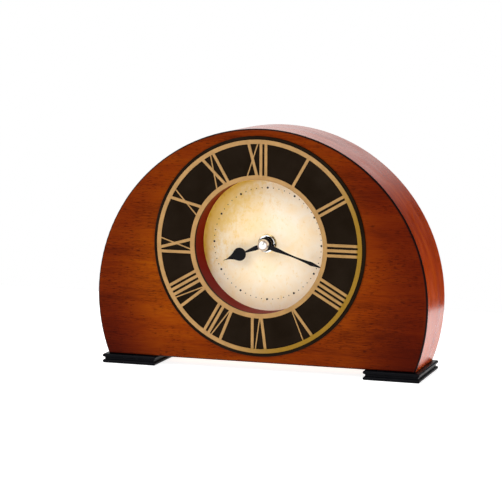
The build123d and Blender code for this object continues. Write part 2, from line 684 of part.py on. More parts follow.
def third_wheel():
    """Wheel between the seconds wheel and the centre wheel."""
    phase = mate_phase(THIRD_PAIR[0], 0.0, THIRD_PAIR[1], math.radians(THIRD_DIRECTION))
    shape = rod(ARBOR_RADIUS, (PIVOT_START, BRIDGE[1]), THIRD)
    shape += pinion(CENTRE_PAIR, 0.0, CENTRE_PINION_LEVELS, THIRD)
    shape += rod(SLIM_HUB, (CENTRE_PINION_LEVELS[1], THIRD_LEVELS[0]), THIRD)
    return shape + wheel(THIRD_PAIR, phase, THIRD_LEVELS, THIRD)


def centre_wheel():
    """Wheel that drags the minute arbor through a friction fit, so the hands can be set."""
    phase = mate_phase(CENTRE_PAIR[0], 0.0, CENTRE_PAIR[1], math.radians(THIRD_DIRECTION + 180))
    shape = wheel(CENTRE_PAIR, phase, CENTRE_LEVELS, AXIS)
    return drilled(shape, ARBOR_TAIL[0] + CLEARANCE, CENTRE_LEVELS, AXIS)


def motion_wheel():
    """Wheel and pinion that gear the minute arbor down twelve times to the hour wheel."""
    shape = wheel(CANNON_PAIR, MOTION_PHASE, MOTION_LEVELS, MOTION)
    shape += rod(HUB, (MOTION_PINION_LEVELS[1], MOTION_LEVELS[0]), MOTION)
    shape += pinion(HOUR_PAIR, 0.0, MOTION_PINION_LEVELS, MOTION)
    return drilled(shape, MOTION_STUD[0] + CLEARANCE, (MOTION_PINION_LEVELS[0], MOTION_LEVELS[1]), MOTION)


def hour_wheel():
    """Hour wheel with the pipe that carries the hour hand."""
    phase = mate_phase(HOUR_PAIR[0], 0.0, HOUR_PAIR[1], math.radians(MOTION_DIRECTION + 180))
    shape = wheel(HOUR_PAIR, phase, HOUR_LEVELS, AXIS)
    shape += disc(HOUR_PIPE_RADIUS, HOUR_HAND_FRONT, train(HOUR_LEVELS[0]))
    return shape - disc(HOUR_PIPE_BORE, HOUR_HAND_FRONT - 1, train(HOUR_LEVELS[1]) + 0.1)


def minute_arbor():
    """Minute arbor: cannon pinion behind, plain shaft through the hour pipe, threaded tip in front."""
    shape = disc(MINUTE_ARBOR_RADIUS, MINUTE_HAND_FRONT, train(CANNON_LEVELS[0]))
    shape += pinion(CANNON_PAIR, 0.0, CANNON_LEVELS, AXIS)
    shape += rod(ARBOR_TAIL[0], (CANNON_LEVELS[1], ARBOR_TAIL[1]), AXIS)
    shape += disc(ARBOR_TIP[0], MINUTE_HAND_FRONT - ARBOR_TIP[1], MINUTE_HAND_FRONT)
    return shape - rod(ARBOR_RADIUS + CLEARANCE, ARBOR_SOCKET, AXIS)


def setting_shaft():
    """Shaft of the setting knob, with the pinion that turns the motion wheel."""
    phase = mate_phase(CANNON_PAIR[1], MOTION_PHASE, CANNON_PAIR[0], math.radians(MOTION_DIRECTION))
    shape = pinion(CANNON_PAIR, phase, CANNON_LEVELS, SETTING)
    shape += rod(ARBOR_RADIUS, (PIVOT_START, CANNON_LEVELS[0]), SETTING)
    return shape + rod(SETTING_SHAFT_RADIUS, (CANNON_LEVELS[1], SHAFT_END), SETTING)


def setting_knob():
    """Scalloped knob behind the movement, which sets the hands."""
    knob = rod(KNOB_RADIUS, KNOB_LEVELS, SETTING)
    knob = chamfer(knob.edges().filter_by(GeomType.CIRCLE), KNOB_CHAMFER)
    for step in range(KNOB_SCALLOPS):
        dx, dz = place_from_axis(KNOB_RADIUS + KNOB_SCALLOP[1], 360 / KNOB_SCALLOPS * step)
        knob = drilled(knob, KNOB_SCALLOP[0], KNOB_LEVELS, (SETTING[0] + dx, SETTING[1] + dz))
    return knob - rod(SETTING_SHAFT_RADIUS, (KNOB_LEVELS[0] - 1, SHAFT_END), SETTING)


# ---------------------------------------------------------------- movement case
def shell_outline(inset):
    """Outline of the movement case, drawn in by a distance on every side."""
    width = MOVEMENT_WIDTH - 2 * inset
    height = MOVEMENT_TOP - MOVEMENT_LOW - 2 * inset
    middle = DIAL_Z + (MOVEMENT_TOP + MOVEMENT_LOW) / 2
    return Pos(0, middle) * RectangleRounded(width, height, SHELL_CORNER - inset)


def movement_front_shell():
    """Front half of the movement case: floor, walls, battery bay, posts and pivot holes."""
    shell = slab(shell_outline(0), train(0), train(BAY_DEPTH))
    across = (-MOVEMENT_WIDTH, MOVEMENT_WIDTH)
    above = (DIAL_Z - TRAIN_DROP, DIAL_Z + MOVEMENT_TOP + 1)
    shell -= block(across, above, train(SHELL_DEPTH), train(BAY_DEPTH) + 1)
    hollow = slab(shell_outline(SHELL_WALL), train(SHELL_FLOOR), train(BAY_DEPTH) + 1)
    divider = (DIAL_Z + PARTITION_Z, DIAL_Z - TRAIN_DROP)
    shell -= hollow - block(across, divider, train(0), train(BAY_DEPTH))
    for place in POSTS:
        shell += rod(POST_RADIUS, (SHELL_FLOOR, BRIDGE[0]), place)
    for place in BOARD_POSTS:
        shell += rod(BOARD_POST_RADIUS, (SHELL_FLOOR, BOARD_LEVELS[0]), place)
    shell += rod(MOTION_STUD[0], (SHELL_FLOOR, MOTION_STUD[1]), MOTION)
    for place in (THIRD, INTERMEDIATE, ROTOR, SETTING):
        shell = drilled(shell, ARBOR_RADIUS + CLEARANCE, (PIVOT_START, SHELL_FLOOR), place)
    opening = (divider[0] - 0.1, divider[1] + 0.1)
    for x in (LEFT_STRIP, RIGHT_STRIP):
        slot = (x - STRIP_GAP - 0.1, x + STRIP + STRIP_SLOT)
        slot = slot if x < 0 else (x - STRIP_SLOT, x + STRIP + STRIP_GAP + 0.1)
        shell -= block(slot, opening, train(STRIP_LEVELS[0] - 0.2), train(STRIP_LEVELS[1] + 0.2))
    shell -= disc(BUSHING_RADIUS, train(-1), train(SHELL_FLOOR) + 0.1)
    return shell - disc(FLANGE_RADIUS, train(SHELL_FLOOR) - BUSHING_LIP, train(SHELL_FLOOR) + 0.1)


def movement_rear_cover():
    """Rear half of the movement case, over the wheel train; the battery bay stays open."""
    low, high = COVER_GAP - TRAIN_DROP, MOVEMENT_TOP
    above = Pos(0, DIAL_Z + (low + high) / 2) * Rectangle(MOVEMENT_WIDTH, high - low)
    cover = slab(shell_outline(0) & above, train(SHELL_DEPTH), train(MOVEMENT_DEPTH))
    inner_side = (-HALF_WIDTH + SHELL_WALL, HALF_WIDTH - SHELL_WALL)
    inner_height = (DIAL_Z + low + SHELL_WALL, DIAL_Z + high - SHELL_WALL)
    cover -= block(inner_side, inner_height, train(SHELL_DEPTH) - 1, train(MOVEMENT_DEPTH) - SHELL_FLOOR)
    cover = fillet(outer_edges(cover, train(MOVEMENT_DEPTH)), COVER_ROUND)
    levels = (SHELL_DEPTH, MOVEMENT_DEPTH)
    return drilled(cover, SETTING_SHAFT_RADIUS + SHAFT_HOLE_CLEARANCE, levels, SETTING)


def train_bridge():
    """Plate over the wheel train, holding the rear pivots."""
    rims = [(Pos(*place) * Circle(POST_RADIUS + BRIDGE_MARGIN)).edge() for place in POSTS]
    plate = slab(Pos(0, DIAL_Z) * make_hull(rims), train(BRIDGE[0]), train(BRIDGE[1]))
    for place in (AXIS, THIRD, INTERMEDIATE, ROTOR):
        plate = drilled(plate, ARBOR_RADIUS + CLEARANCE, BRIDGE, place)
    return plate


def threaded_bushing():
    """Brass bushing that clamps the movement to the dial, with thread grooves in front."""
    shape = disc(BUSHING_RADIUS, BUSHING_END, train(SHELL_FLOOR))
    shape += disc(FLANGE_RADIUS, train(SHELL_FLOOR) - BUSHING_LIP, train(SHELL_FLOOR))
    for turn in range(int(BUSHING_OUT / THREAD_PITCH)):
        start = BUSHING_END + THREAD_PITCH * (turn + 0.35)
        groove = tube(BUSHING_RADIUS + 1, BUSHING_RADIUS - THREAD_DEPTH, start, start + 0.4 * THREAD_PITCH)
        shape -= groove
    return shape - disc(BUSHING_BORE, BUSHING_END - 1, train(SHELL_FLOOR) + 0.1)


def rubber_gasket():
    """Rubber ring between the movement and the dial plate."""
    return tube(GASKET[0], BUSHING_RADIUS + CLEARANCE, PLATE_BACK, MOVEMENT_FRONT)


def dial_washer():
    """Washer between the nut and the dial."""
    hole = BUSHING_RADIUS + CLEARANCE
    return tube(BUSHING_RADIUS + WASHER[0], hole, BOARD_BACK - WASHER[1], BOARD_BACK)


def mounting_nut():
    """Round slotted nut on the bushing."""
    radius, back = BUSHING_RADIUS + NUT[0], BOARD_BACK - WASHER[1]
    nut = disc(radius, back - NUT[1], back)
    nut = fillet(outer_edges(nut, back - NUT[1]), NUT_ROUND)
    nut -= disc(BUSHING_RADIUS + CLEARANCE, back - NUT[1] - 1, back + 1)
    for turn in range(NUT_SLOTS):
        angle = 360 / NUT_SLOTS * turn
        slot = Pos(*clock_point(radius, angle)) * Rot(0, 0, -angle) * Rectangle(*NUT_SLOT)
        nut -= slab(slot, back - NUT[1] - 1, back - WASHER[1])
    return nut


# ---------------------------------------------------------------- electrics
def stator():
    """Soft iron plate with a hole round the rotor magnet and two limbs to the coil."""
    left, right = LIMBS[0][0], LIMBS[1][1]
    low = ROTOR[1] - STATOR_BAR / 2
    bar = Pos((left + right) / 2, ROTOR[1]) * Rectangle(right - left, STATOR_BAR)
    outline = Pos(*ROTOR) * Circle(STATOR_RING[0]) + bar
    for limb in LIMBS:
        height = COIL_Z + LIMB_RISE - low
        outline += Pos(sum(limb) / 2, low + height / 2) * Rectangle(limb[1] - limb[0], height)
    outline -= Pos(*ROTOR) * Circle(STATOR_RING[1])
    outline -= Pos(*INTERMEDIATE) * Circle(HUB)
    return slab(Pos(0, DIAL_Z) * outline, train(STATOR_LEVELS[0]), train(STATOR_LEVELS[1]))


def coil_core():
    """Iron bar through the coil, joined to the stator's limbs."""
    z = (DIAL_Z + COIL_Z - CORE[0] / 2, DIAL_Z + COIL_Z + CORE[0] / 2)
    return block((LIMBS[0][0], LIMBS[1][1]), z, train(STATOR_LEVELS[0] - CORE[1]), train(STATOR_LEVELS[0]))


def along_x(radius, x_range, z, depth):
    """A cylinder lying along X."""
    middle = Pos(sum(x_range) / 2, depth, z)
    return middle * Rot(0, 90, 0) * Cylinder(radius, x_range[1] - x_range[0])


def coil_bobbin():
    """Plastic bobbin with two flanges, on the core."""
    z, depth = DIAL_Z + COIL_Z, train(COIL_LEVEL)
    left, right = COIL_X
    shape = along_x(BOBBIN_RADIUS, COIL_X, z, depth)
    for ends in ((left, left + BOBBIN_FLANGE[1]), (right - BOBBIN_FLANGE[1], right)):
        shape += along_x(BOBBIN_FLANGE[0], ends, z, depth)
    return shape - coil_core()


def coil_winding():
    """Copper winding between the bobbin's flanges."""
    z, depth = DIAL_Z + COIL_Z, train(COIL_LEVEL)
    inside = (COIL_X[0] + BOBBIN_FLANGE[1], COIL_X[1] - BOBBIN_FLANGE[1])
    return along_x(COIL_RADIUS, inside, z, depth) - along_x(BOBBIN_RADIUS, COIL_X, z, depth)


def circuit_board():
    """Small circuit board on two posts."""
    z = (DIAL_Z + BOARD_Z[0], DIAL_Z + BOARD_Z[1])
    return block(BOARD_X, z, train(BOARD_LEVELS[0]), train(BOARD_LEVELS[1]))


def quartz_crystal():
    """Metal can of the quartz crystal, lying on the board."""
    end = BOARD_X[1] - 2.6
    z = DIAL_Z + BOARD_Z[1] - 2.4
    return along_x(CRYSTAL[0], (end - CRYSTAL[1], end), z, train(BOARD_LEVELS[1]) + CRYSTAL[0])


def chip_blob():
    """Resin blob over the clock chip."""
    radius, sink = CHIP_DOME
    dome = Pos(0, -sink, 0) * Sphere(radius) & Pos(0, radius / 2, 0) * Box(3 * radius, radius, 3 * radius)
    return Pos(BOARD_X[0] + 4.2, train(BOARD_LEVELS[1]), DIAL_Z + BOARD_Z[0] + 4.0) * dome


def contact_positive():
    """Strip from the battery's cap up to the circuit board."""
    x = (RIGHT_STRIP, RIGHT_STRIP + STRIP)
    middle = DIAL_Z + BATTERY_Z
    pad = block(x, (middle - PAD_HALF, middle + PAD_HALF), train(PAD_LEVELS[0]), train(PAD_LEVELS[1]))
    levels = (train(STRIP_LEVELS[0]), train(STRIP_LEVELS[1]))
    return pad + block(x, (middle, DIAL_Z + BOARD_Z[1] - 2.0), *levels)


def contact_negative():
    """Leaf spring at the battery's flat end, with a strip along the partition to the board."""
    middle = DIAL_Z + BATTERY_Z
    low, high = middle - PAD_HALF, middle + PAD_HALF
    pad_x = (LEFT_STRIP, LEFT_STRIP + STRIP)
    pad = block(pad_x, (low, high), train(PAD_LEVELS[0]), train(PAD_LEVELS[1]))
    root = pad_x[1] - STRIP / 4
    reach = BATTERY_X[0] - BATTERY_END_GAP
    leaf = Polyline(
        (root, low + 0.7),
        (root, low + 0.2),
        (reach, middle),
        (root, high - 0.2),
        (root, high - 0.7),
        (reach - STRIP, middle),
        close=True,
    )
    spring = slab(make_face(leaf), train(SPRING_LEVELS[0]), train(SPRING_LEVELS[1]))
    floor_z = DIAL_Z - TRAIN_DROP + 0.1
    levels = (train(STRIP_LEVELS[0]), train(STRIP_LEVELS[1]))
    rise = block(pad_x, (low, floor_z + STRIP), *levels)
    run = block((LEFT_STRIP, CLIMB_X), (floor_z, floor_z + STRIP), *levels)
    climb = block((CLIMB_X - STRIP, CLIMB_X), (floor_z, DIAL_Z + BOARD_Z[0] + 1.0), *levels)
    return pad + spring + rise + run + climb


def battery_cell():
    """Steel can of the battery with its positive cap."""
    negative, positive = BATTERY_X
    z, depth = DIAL_Z + BATTERY_Z, train(BATTERY_DEPTH)
    body = along_x(BATTERY_RADIUS - SLEEVE, (negative, positive - BATTERY_NUB[1]), z, depth)
    body = fillet(body.edges().filter_by(GeomType.CIRCLE), BATTERY_ROUND)
    return body + along_x(BATTERY_NUB[0], (positive - BATTERY_NUB[1] - 0.1, positive), z, depth)


def battery_sleeve():
    """Printed sleeve round the battery's can."""
    negative, positive = BATTERY_X
    z, depth = DIAL_Z + BATTERY_Z, train(BATTERY_DEPTH)
    span = (negative + SLEEVE_MARGIN, positive - BATTERY_NUB[1] - SLEEVE_MARGIN)
    return along_x(BATTERY_RADIUS, span, z, depth) - along_x(BATTERY_RADIUS - SLEEVE, BATTERY_X, z, depth)


# ---------------------------------------------------------------- hands
def mirrored_face(right_side):
    """Face between a right-hand outline and its mirror image, both ends on or near the centre line."""
    left_side = [mirror(edge, Plane.YZ) for edge in right_side]
    first, last = right_side[0] @ 0, right_side[-1] @ 1
    edges = list(right_side) + left_side
    edges.append(Line(first, (-first.X, first.Y)))
    if abs(last.X) > 1e-6:
        edges.append(Line(last, (-last.X, last.Y)))
    return make_face(edges)


def hour_blade():
    """Spade hour hand, pointing up from the origin."""
    bulb, radius = HOUR_BULB[0] * HOUR_HAND_LENGTH, HOUR_BULB[1]
    neck = (HAND_NECK, bulb - math.sqrt(radius**2 - HAND_NECK**2))
    shoulder = (radius * math.cos(math.radians(35)), bulb + radius * math.sin(math.radians(35)))
    stem = Line((STEM_BELLY, 0.6 * HOUR_HUB_RADIUS), (STEM_BELLY, HOUR_BELLY_END))
    taper = Line(stem @ 1, neck)
    round_part = ThreePointArc(neck, (radius, bulb), shoulder)
    narrow = (HOUR_FLANK[0], HOUR_FLANK[1] * HOUR_HAND_LENGTH)
    flank = ThreePointArc(shoulder, narrow, (HAND_TIP, HOUR_HAND_LENGTH))
    return mirrored_face([stem, taper, round_part, flank])


def minute_blade():
    """Slender minute hand with a leaf near its tip, pointing up from the origin."""
    waist = (MINUTE_WAIST[0], MINUTE_WAIST[1] * MINUTE_HAND_LENGTH)
    leaf = (MINUTE_LEAF[0], MINUTE_LEAF[1] * MINUTE_HAND_LENGTH)
    stem = Line((STEM_BELLY, 0.6 * MINUTE_HUB_RADIUS), (STEM_BELLY, MINUTE_BELLY_END))
    taper = Spline(stem @ 1, waist, leaf)
    tip = Line(leaf, (HAND_TIP, MINUTE_HAND_LENGTH))
    return mirrored_face([stem, taper, tip])


def aim(shape_outline, degrees):
    """Turns an outline that points up to a clock angle and moves it to the dial centre."""
    return Pos(0, DIAL_Z) * Rot(0, 0, -degrees) * shape_outline


def hour_hand():
    """Hour hand pressed on the hour pipe, with a collar behind it."""
    sheet_back = HOUR_HAND_FRONT + HAND_SHEET
    hand = slab(aim(hour_blade() + Circle(HOUR_HUB_RADIUS), HOUR_ANGLE), HOUR_HAND_FRONT, sheet_back)
    hand += disc(HOUR_PIPE_RADIUS + HOUR_COLLAR[0], sheet_back, sheet_back + HOUR_COLLAR[1])
    return hand - disc(HOUR_PIPE_RADIUS, HOUR_HAND_FRONT - 1, sheet_back + HOUR_COLLAR[1] + 1)


def minute_hand():
    """Minute hand with a collar that spaces it off the hour hand."""
    sheet_back = MINUTE_HAND_FRONT + HAND_SHEET
    outline = aim(minute_blade() + Circle(MINUTE_HUB_RADIUS), MINUTE_ANGLE)
    hand = slab(outline, MINUTE_HAND_FRONT, sheet_back)
    hand += disc(MINUTE_ARBOR_RADIUS + MINUTE_COLLAR_WALL, sheet_back, HOUR_HAND_FRONT - HAND_GAP)
    return hand - disc(MINUTE_ARBOR_RADIUS, MINUTE_HAND_FRONT - 1, HOUR_HAND_FRONT)


def hand_nut():
    """Closed round cap nut with a domed front, on the tip of the minute arbor."""
    cap = Pos(0, 0, NUT_CAP_LENGTH / 2) * Cylinder(NUT_CAP_RADIUS, NUT_CAP_LENGTH)
    rims = cap.edges().filter_by(GeomType.CIRCLE).sort_by(Axis.Z)
    cap = fillet(rims[-1], NUT_CAP_RADIUS - NUT_CAP_FLAT)
    cap = chamfer(cap.edges().filter_by(GeomType.CIRCLE).sort_by(Axis.Z)[0], NUT_CAP_CHAMFER)
    cap -= Pos(0, 0, ARBOR_TIP[1] / 2) * Cylinder(NUT_BORE, ARBOR_TIP[1] + 0.4)
    return Pos(0, MINUTE_HAND_FRONT, DIAL_Z) * Rot(90, 0, 0) * cap


NODES = {
    "front_panel": front_panel,
    "rim_hoop": rim_hoop,
    "base_board": base_board,
    "rim_veneer": rim_veneer,
    "back_panel": back_panel,
    "back_screws": back_screws,
    "foot_left": lambda: foot(-1),
    "foot_right": lambda: foot(1),
    "foot_screws": foot_screws,
    "chapter_backing": chapter_backing,
    "chapter_fretwork": chapter_fretwork,
    "dial_plate": dial_plate,
    "dial_paper": dial_paper,
    "dial_screws": dial_screws,
    "movement_front_shell": movement_front_shell,
    "movement_rear_cover": movement_rear_cover,
    "train_bridge": train_bridge,
    "threaded_bushing": threaded_bushing,
    "rubber_gasket": rubber_gasket,
    "dial_washer": dial_washer,
    "mounting_nut": mounting_nut,
    "rotor": rotor,
    "rotor_magnet": rotor_magnet,
    "intermediate_wheel": intermediate_wheel,
    "seconds_wheel": seconds_wheel,
    "third_wheel": third_wheel,
    "centre_wheel": centre_wheel,
    "motion_wheel": motion_wheel,
    "hour_wheel": hour_wheel,
    "minute_arbor": minute_arbor,
    "setting_shaft": setting_shaft,
    "setting_knob": setting_knob,
    "stator": stator,
    "coil_core": coil_core,
    "coil_bobbin": coil_bobbin,
    "coil_winding": coil_winding,
    "circuit_board": circuit_board,
    "quartz_crystal": quartz_crystal,
    "chip_blob": chip_blob,
    "contact_positive": contact_positive,
    "contact_negative": contact_negative,
    "battery_cell": battery_cell,
    "battery_sleeve": battery_sleeve,
    "hour_hand": hour_hand,
    "minute_hand": minute_hand,
    "hand_nut": hand_nut,
}

os.makedirs("parts", exist_ok=True)
for name, build in NODES.items():
    export_step(build(), f"parts/{name}.step")
print("setting knob at", [round(v, 3) for v in SETTING], "motion at", [round(v, 3) for v in MOTION])
for label, place in (("third", THIRD), ("intermediate", INTERMEDIATE), ("rotor", ROTOR)):
    print(label, "arbor at", [round(v, 4) for v in place])
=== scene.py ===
"""Half-round mantel clock: finishes, printed marks, studio light and camera.

The clock faces -Y, X runs to the right and Z up, in metres. Each sub-assembly is a class that
holds its sizes, builds what the frame leaves to it and dresses every piece with its finish.
"""

from __future__ import annotations

import json
import logging
import math
from dataclasses import dataclass, field
from enum import Enum
from typing import Any, Sequence

import bmesh
import bpy
from mathutils import Matrix, Vector

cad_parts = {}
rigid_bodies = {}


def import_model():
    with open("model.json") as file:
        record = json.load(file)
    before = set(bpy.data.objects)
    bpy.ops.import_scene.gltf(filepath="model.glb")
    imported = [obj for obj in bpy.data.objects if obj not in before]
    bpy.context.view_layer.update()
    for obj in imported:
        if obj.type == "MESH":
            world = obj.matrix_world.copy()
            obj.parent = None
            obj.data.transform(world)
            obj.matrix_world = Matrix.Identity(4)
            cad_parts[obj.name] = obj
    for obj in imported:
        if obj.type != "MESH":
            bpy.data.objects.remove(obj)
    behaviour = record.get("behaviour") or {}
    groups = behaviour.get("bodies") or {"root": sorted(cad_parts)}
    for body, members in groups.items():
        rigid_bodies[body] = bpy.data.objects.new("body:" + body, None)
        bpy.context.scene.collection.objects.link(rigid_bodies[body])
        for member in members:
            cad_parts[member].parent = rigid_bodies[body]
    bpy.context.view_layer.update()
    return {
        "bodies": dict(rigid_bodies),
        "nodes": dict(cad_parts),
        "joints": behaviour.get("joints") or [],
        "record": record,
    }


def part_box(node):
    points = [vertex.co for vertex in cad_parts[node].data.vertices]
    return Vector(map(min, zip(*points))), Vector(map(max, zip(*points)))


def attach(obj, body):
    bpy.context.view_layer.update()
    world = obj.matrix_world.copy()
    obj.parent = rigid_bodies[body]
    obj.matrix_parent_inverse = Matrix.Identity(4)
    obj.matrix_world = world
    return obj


LOG = logging.getLogger("mantel_clock")
MM = 0.001

CASE_BODY = "case"

Colour = tuple[float, float, float]
Scale = tuple[float, float, float]
Range = tuple[float, float]
Point = tuple[float, float]
Socket = bpy.types.NodeSocket


class Grain(Enum):
    """Which way a wood's grain runs."""

    LEVEL = "level"
    AROUND_ARCH = "around the arch"


class Bench:
    """A material in the making: adds shader nodes and joins them up."""

    def __init__(self, name: str) -> None:
        """Starts a material with a plain Principled shader.

        Args:
            name: the material's name.
        """
        self.material = bpy.data.materials.new(name)
        self.material.use_nodes = True
        self.tree = self.material.node_tree
        self.shader = self.tree.nodes["Principled BSDF"]

    def node(self, kind: str, **settings: Any) -> bpy.types.Node:
        """Adds a node.

        Args:
            kind: the node's type without its ShaderNode prefix.
            settings: properties to set on it.

        Returns:
            The new node.
        """
        made = self.tree.nodes.new("ShaderNode" + kind)
        for name, value in settings.items():
            setattr(made, name, value)
        return made

    def feed(self, socket: Socket, value: Any) -> None:
        """Links another node's output to a socket, or sets the socket's own value.

        Args:
            socket: the input.
            value: an output socket, a number or a tuple.
        """
        if isinstance(value, bpy.types.NodeSocket):
            self.tree.links.new(value, socket)
        else:
            socket.default_value = value

    def place(self) -> Socket:
        """Returns the Object coordinates, which are the clock's own metres."""
        return self.node("TexCoord").outputs["Object"]

    def parts(self, vector: Socket) -> tuple[Socket, Socket, Socket]:
        """Splits a vector.

        Args:
            vector: the vector.

        Returns:
            Its X, Y and Z.
        """
        split = self.node("SeparateXYZ")
        self.feed(split.inputs[0], vector)
        return split.outputs[0], split.outputs[1], split.outputs[2]

    def vector(self, x: Any, y: Any, z: Any) -> Socket:
        """Joins three numbers into a vector.

        Args:
            x: first number or socket.
            y: second number or socket.
            z: third number or socket.

        Returns:
            The vector.
        """
        joined = self.node("CombineXYZ")
        for socket, value in zip(joined.inputs, (x, y, z)):
            self.feed(socket, value)
        return joined.outputs[0]

    def length(self, x: Any, y: Any) -> Socket:
        """Measures how far a point of a plane is from its origin.

        Args:
            x: first number or socket.
            y: second number or socket.

        Returns:
            The distance.
        """
        made = self.node("VectorMath", operation="LENGTH")
        self.feed(made.inputs[0], self.vector(x, y, 0.0))
        return made.outputs["Value"]

    def math(self, operation: str, first: Any, second: Any = 0.0) -> Socket:
        """Does one sum.

        Args:
            operation: the Math node's operation.
            first: first number or socket.
            second: second number or socket.

        Returns:
            The result.
        """
        made = self.node("Math", operation=operation)
        self.feed(made.inputs[0], first)
        self.feed(made.inputs[1], second)
        return made.outputs[0]

    def stretched(self, vector: Socket, scale: Sequence[float]) -> Socket:
        """Scales a vector axis by axis.

        Args:
            vector: the vector.
            scale: the three factors.

        Returns:
            The scaled vector.
        """
        made = self.node("Mapping", vector_type="POINT")
        self.feed(made.inputs["Vector"], vector)
        made.inputs["Scale"].default_value = scale
        return made.outputs[0]

    def noise(
        self, vector: Socket, scale: float, detail: float = 3.0, rough: float = 0.5, warp: float = 0.0
    ) -> Socket:
        """Adds fractal noise.

        Args:
            vector: where it is read.
            scale: waves per metre.
            detail: number of finer layers.
            rough: strength of the finer layers.
            warp: how far the noise bends itself.

        Returns:
            The noise, about 0.5 on average.
        """
        made = self.node("TexNoise", noise_dimensions="3D")
        self.feed(made.inputs["Vector"], vector)
        made.inputs["Scale"].default_value = scale
        made.inputs["Detail"].default_value = detail
        made.inputs["Roughness"].default_value = rough
        made.inputs["Distortion"].default_value = warp
        return made.outputs["Fac"]

    def span(self, value: Socket, low: float, high: float, start: float = 0.0, end: float = 1.0) -> Socket:
        """Maps a range smoothly onto another, held at both ends.

        Args:
            value: the number.
            low: where the range starts.
            high: where it ends.
            start: result at the start.
            end: result at the end.

        Returns:
            The mapped number.
        """
        made = self.node("MapRange", interpolation_type="SMOOTHSTEP")
        for socket, number in zip(made.inputs, (value, low, high, start, end)):
            self.feed(socket, number)
        return made.outputs[0]

    def ramp(self, value: Socket, stops: Sequence[tuple[float, Colour]]) -> Socket:
        """Turns a number into a colour.

        Args:
            value: the number.
            stops: positions and colours, in order.

        Returns:
            The colour.
        """
        made = self.node("ValToRGB")
        self.feed(made.inputs[0], value)
        band = made.color_ramp
        for index, (position, colour) in enumerate(stops):
            stop = band.elements[index] if index < 2 else band.elements.new(position)
            stop.position = position
            stop.color = (*colour, 1.0)
        return made.outputs[0]

    def mix(self, share: Any, first: Any, second: Any, blend: str = "MIX") -> Socket:
        """Mixes two colours.

        Args:
            share: how much of the second shows.
            first: a colour or socket.
            second: a colour or socket.
            blend: the blend type.

        Returns:
            The mixed colour.
        """
        made = self.node("Mix", data_type="RGBA", blend_type=blend, clamp_factor=True)
        self.feed(made.inputs[0], share)
        for socket, value in ((made.inputs[6], first), (made.inputs[7], second)):
            self.feed(socket, (*value, 1.0) if isinstance(value, tuple) else value)
        return made.outputs[2]

    def bump(self, height: Socket, depth: float, strength: float = 1.0) -> Socket:
        """Adds a bump.

        Args:
            height: the height, 0 to 1.
            depth: its full height in metres.
            strength: how much of it shows.

        Returns:
            The bent normal.
        """
        made = self.node("Bump")
        self.feed(made.inputs["Height"], height)
        made.inputs["Distance"].default_value = depth
        made.inputs["Strength"].default_value = strength
        return made.outputs[0]

    def close(self, **inputs: Any) -> bpy.types.Material:
        """Feeds the shader and hands over the material.

        Args:
            inputs: values by socket name, with underscores for spaces.

        Returns:
            The finished material.
        """
        for name, value in inputs.items():
            socket = self.shader.inputs[name.replace("_", " ")]
            self.feed(socket, (*value, 1.0) if isinstance(value, tuple) and len(value) == 3 else value)
        return self.material


@dataclass(frozen=True)
class Finish:
    """A surface finish; each kind says how its material is made."""

    name: str

    def material(self) -> bpy.types.Material:
        """Returns the finish's material, made once."""
        return bpy.data.materials.get(self.name) or self.make(Bench(self.name))

    def make(self, bench: Bench) -> bpy.types.Material:
        """Builds the material.

        Args:
            bench: the material to fill.

        Returns:
            The material.
        """
        raise NotImplementedError


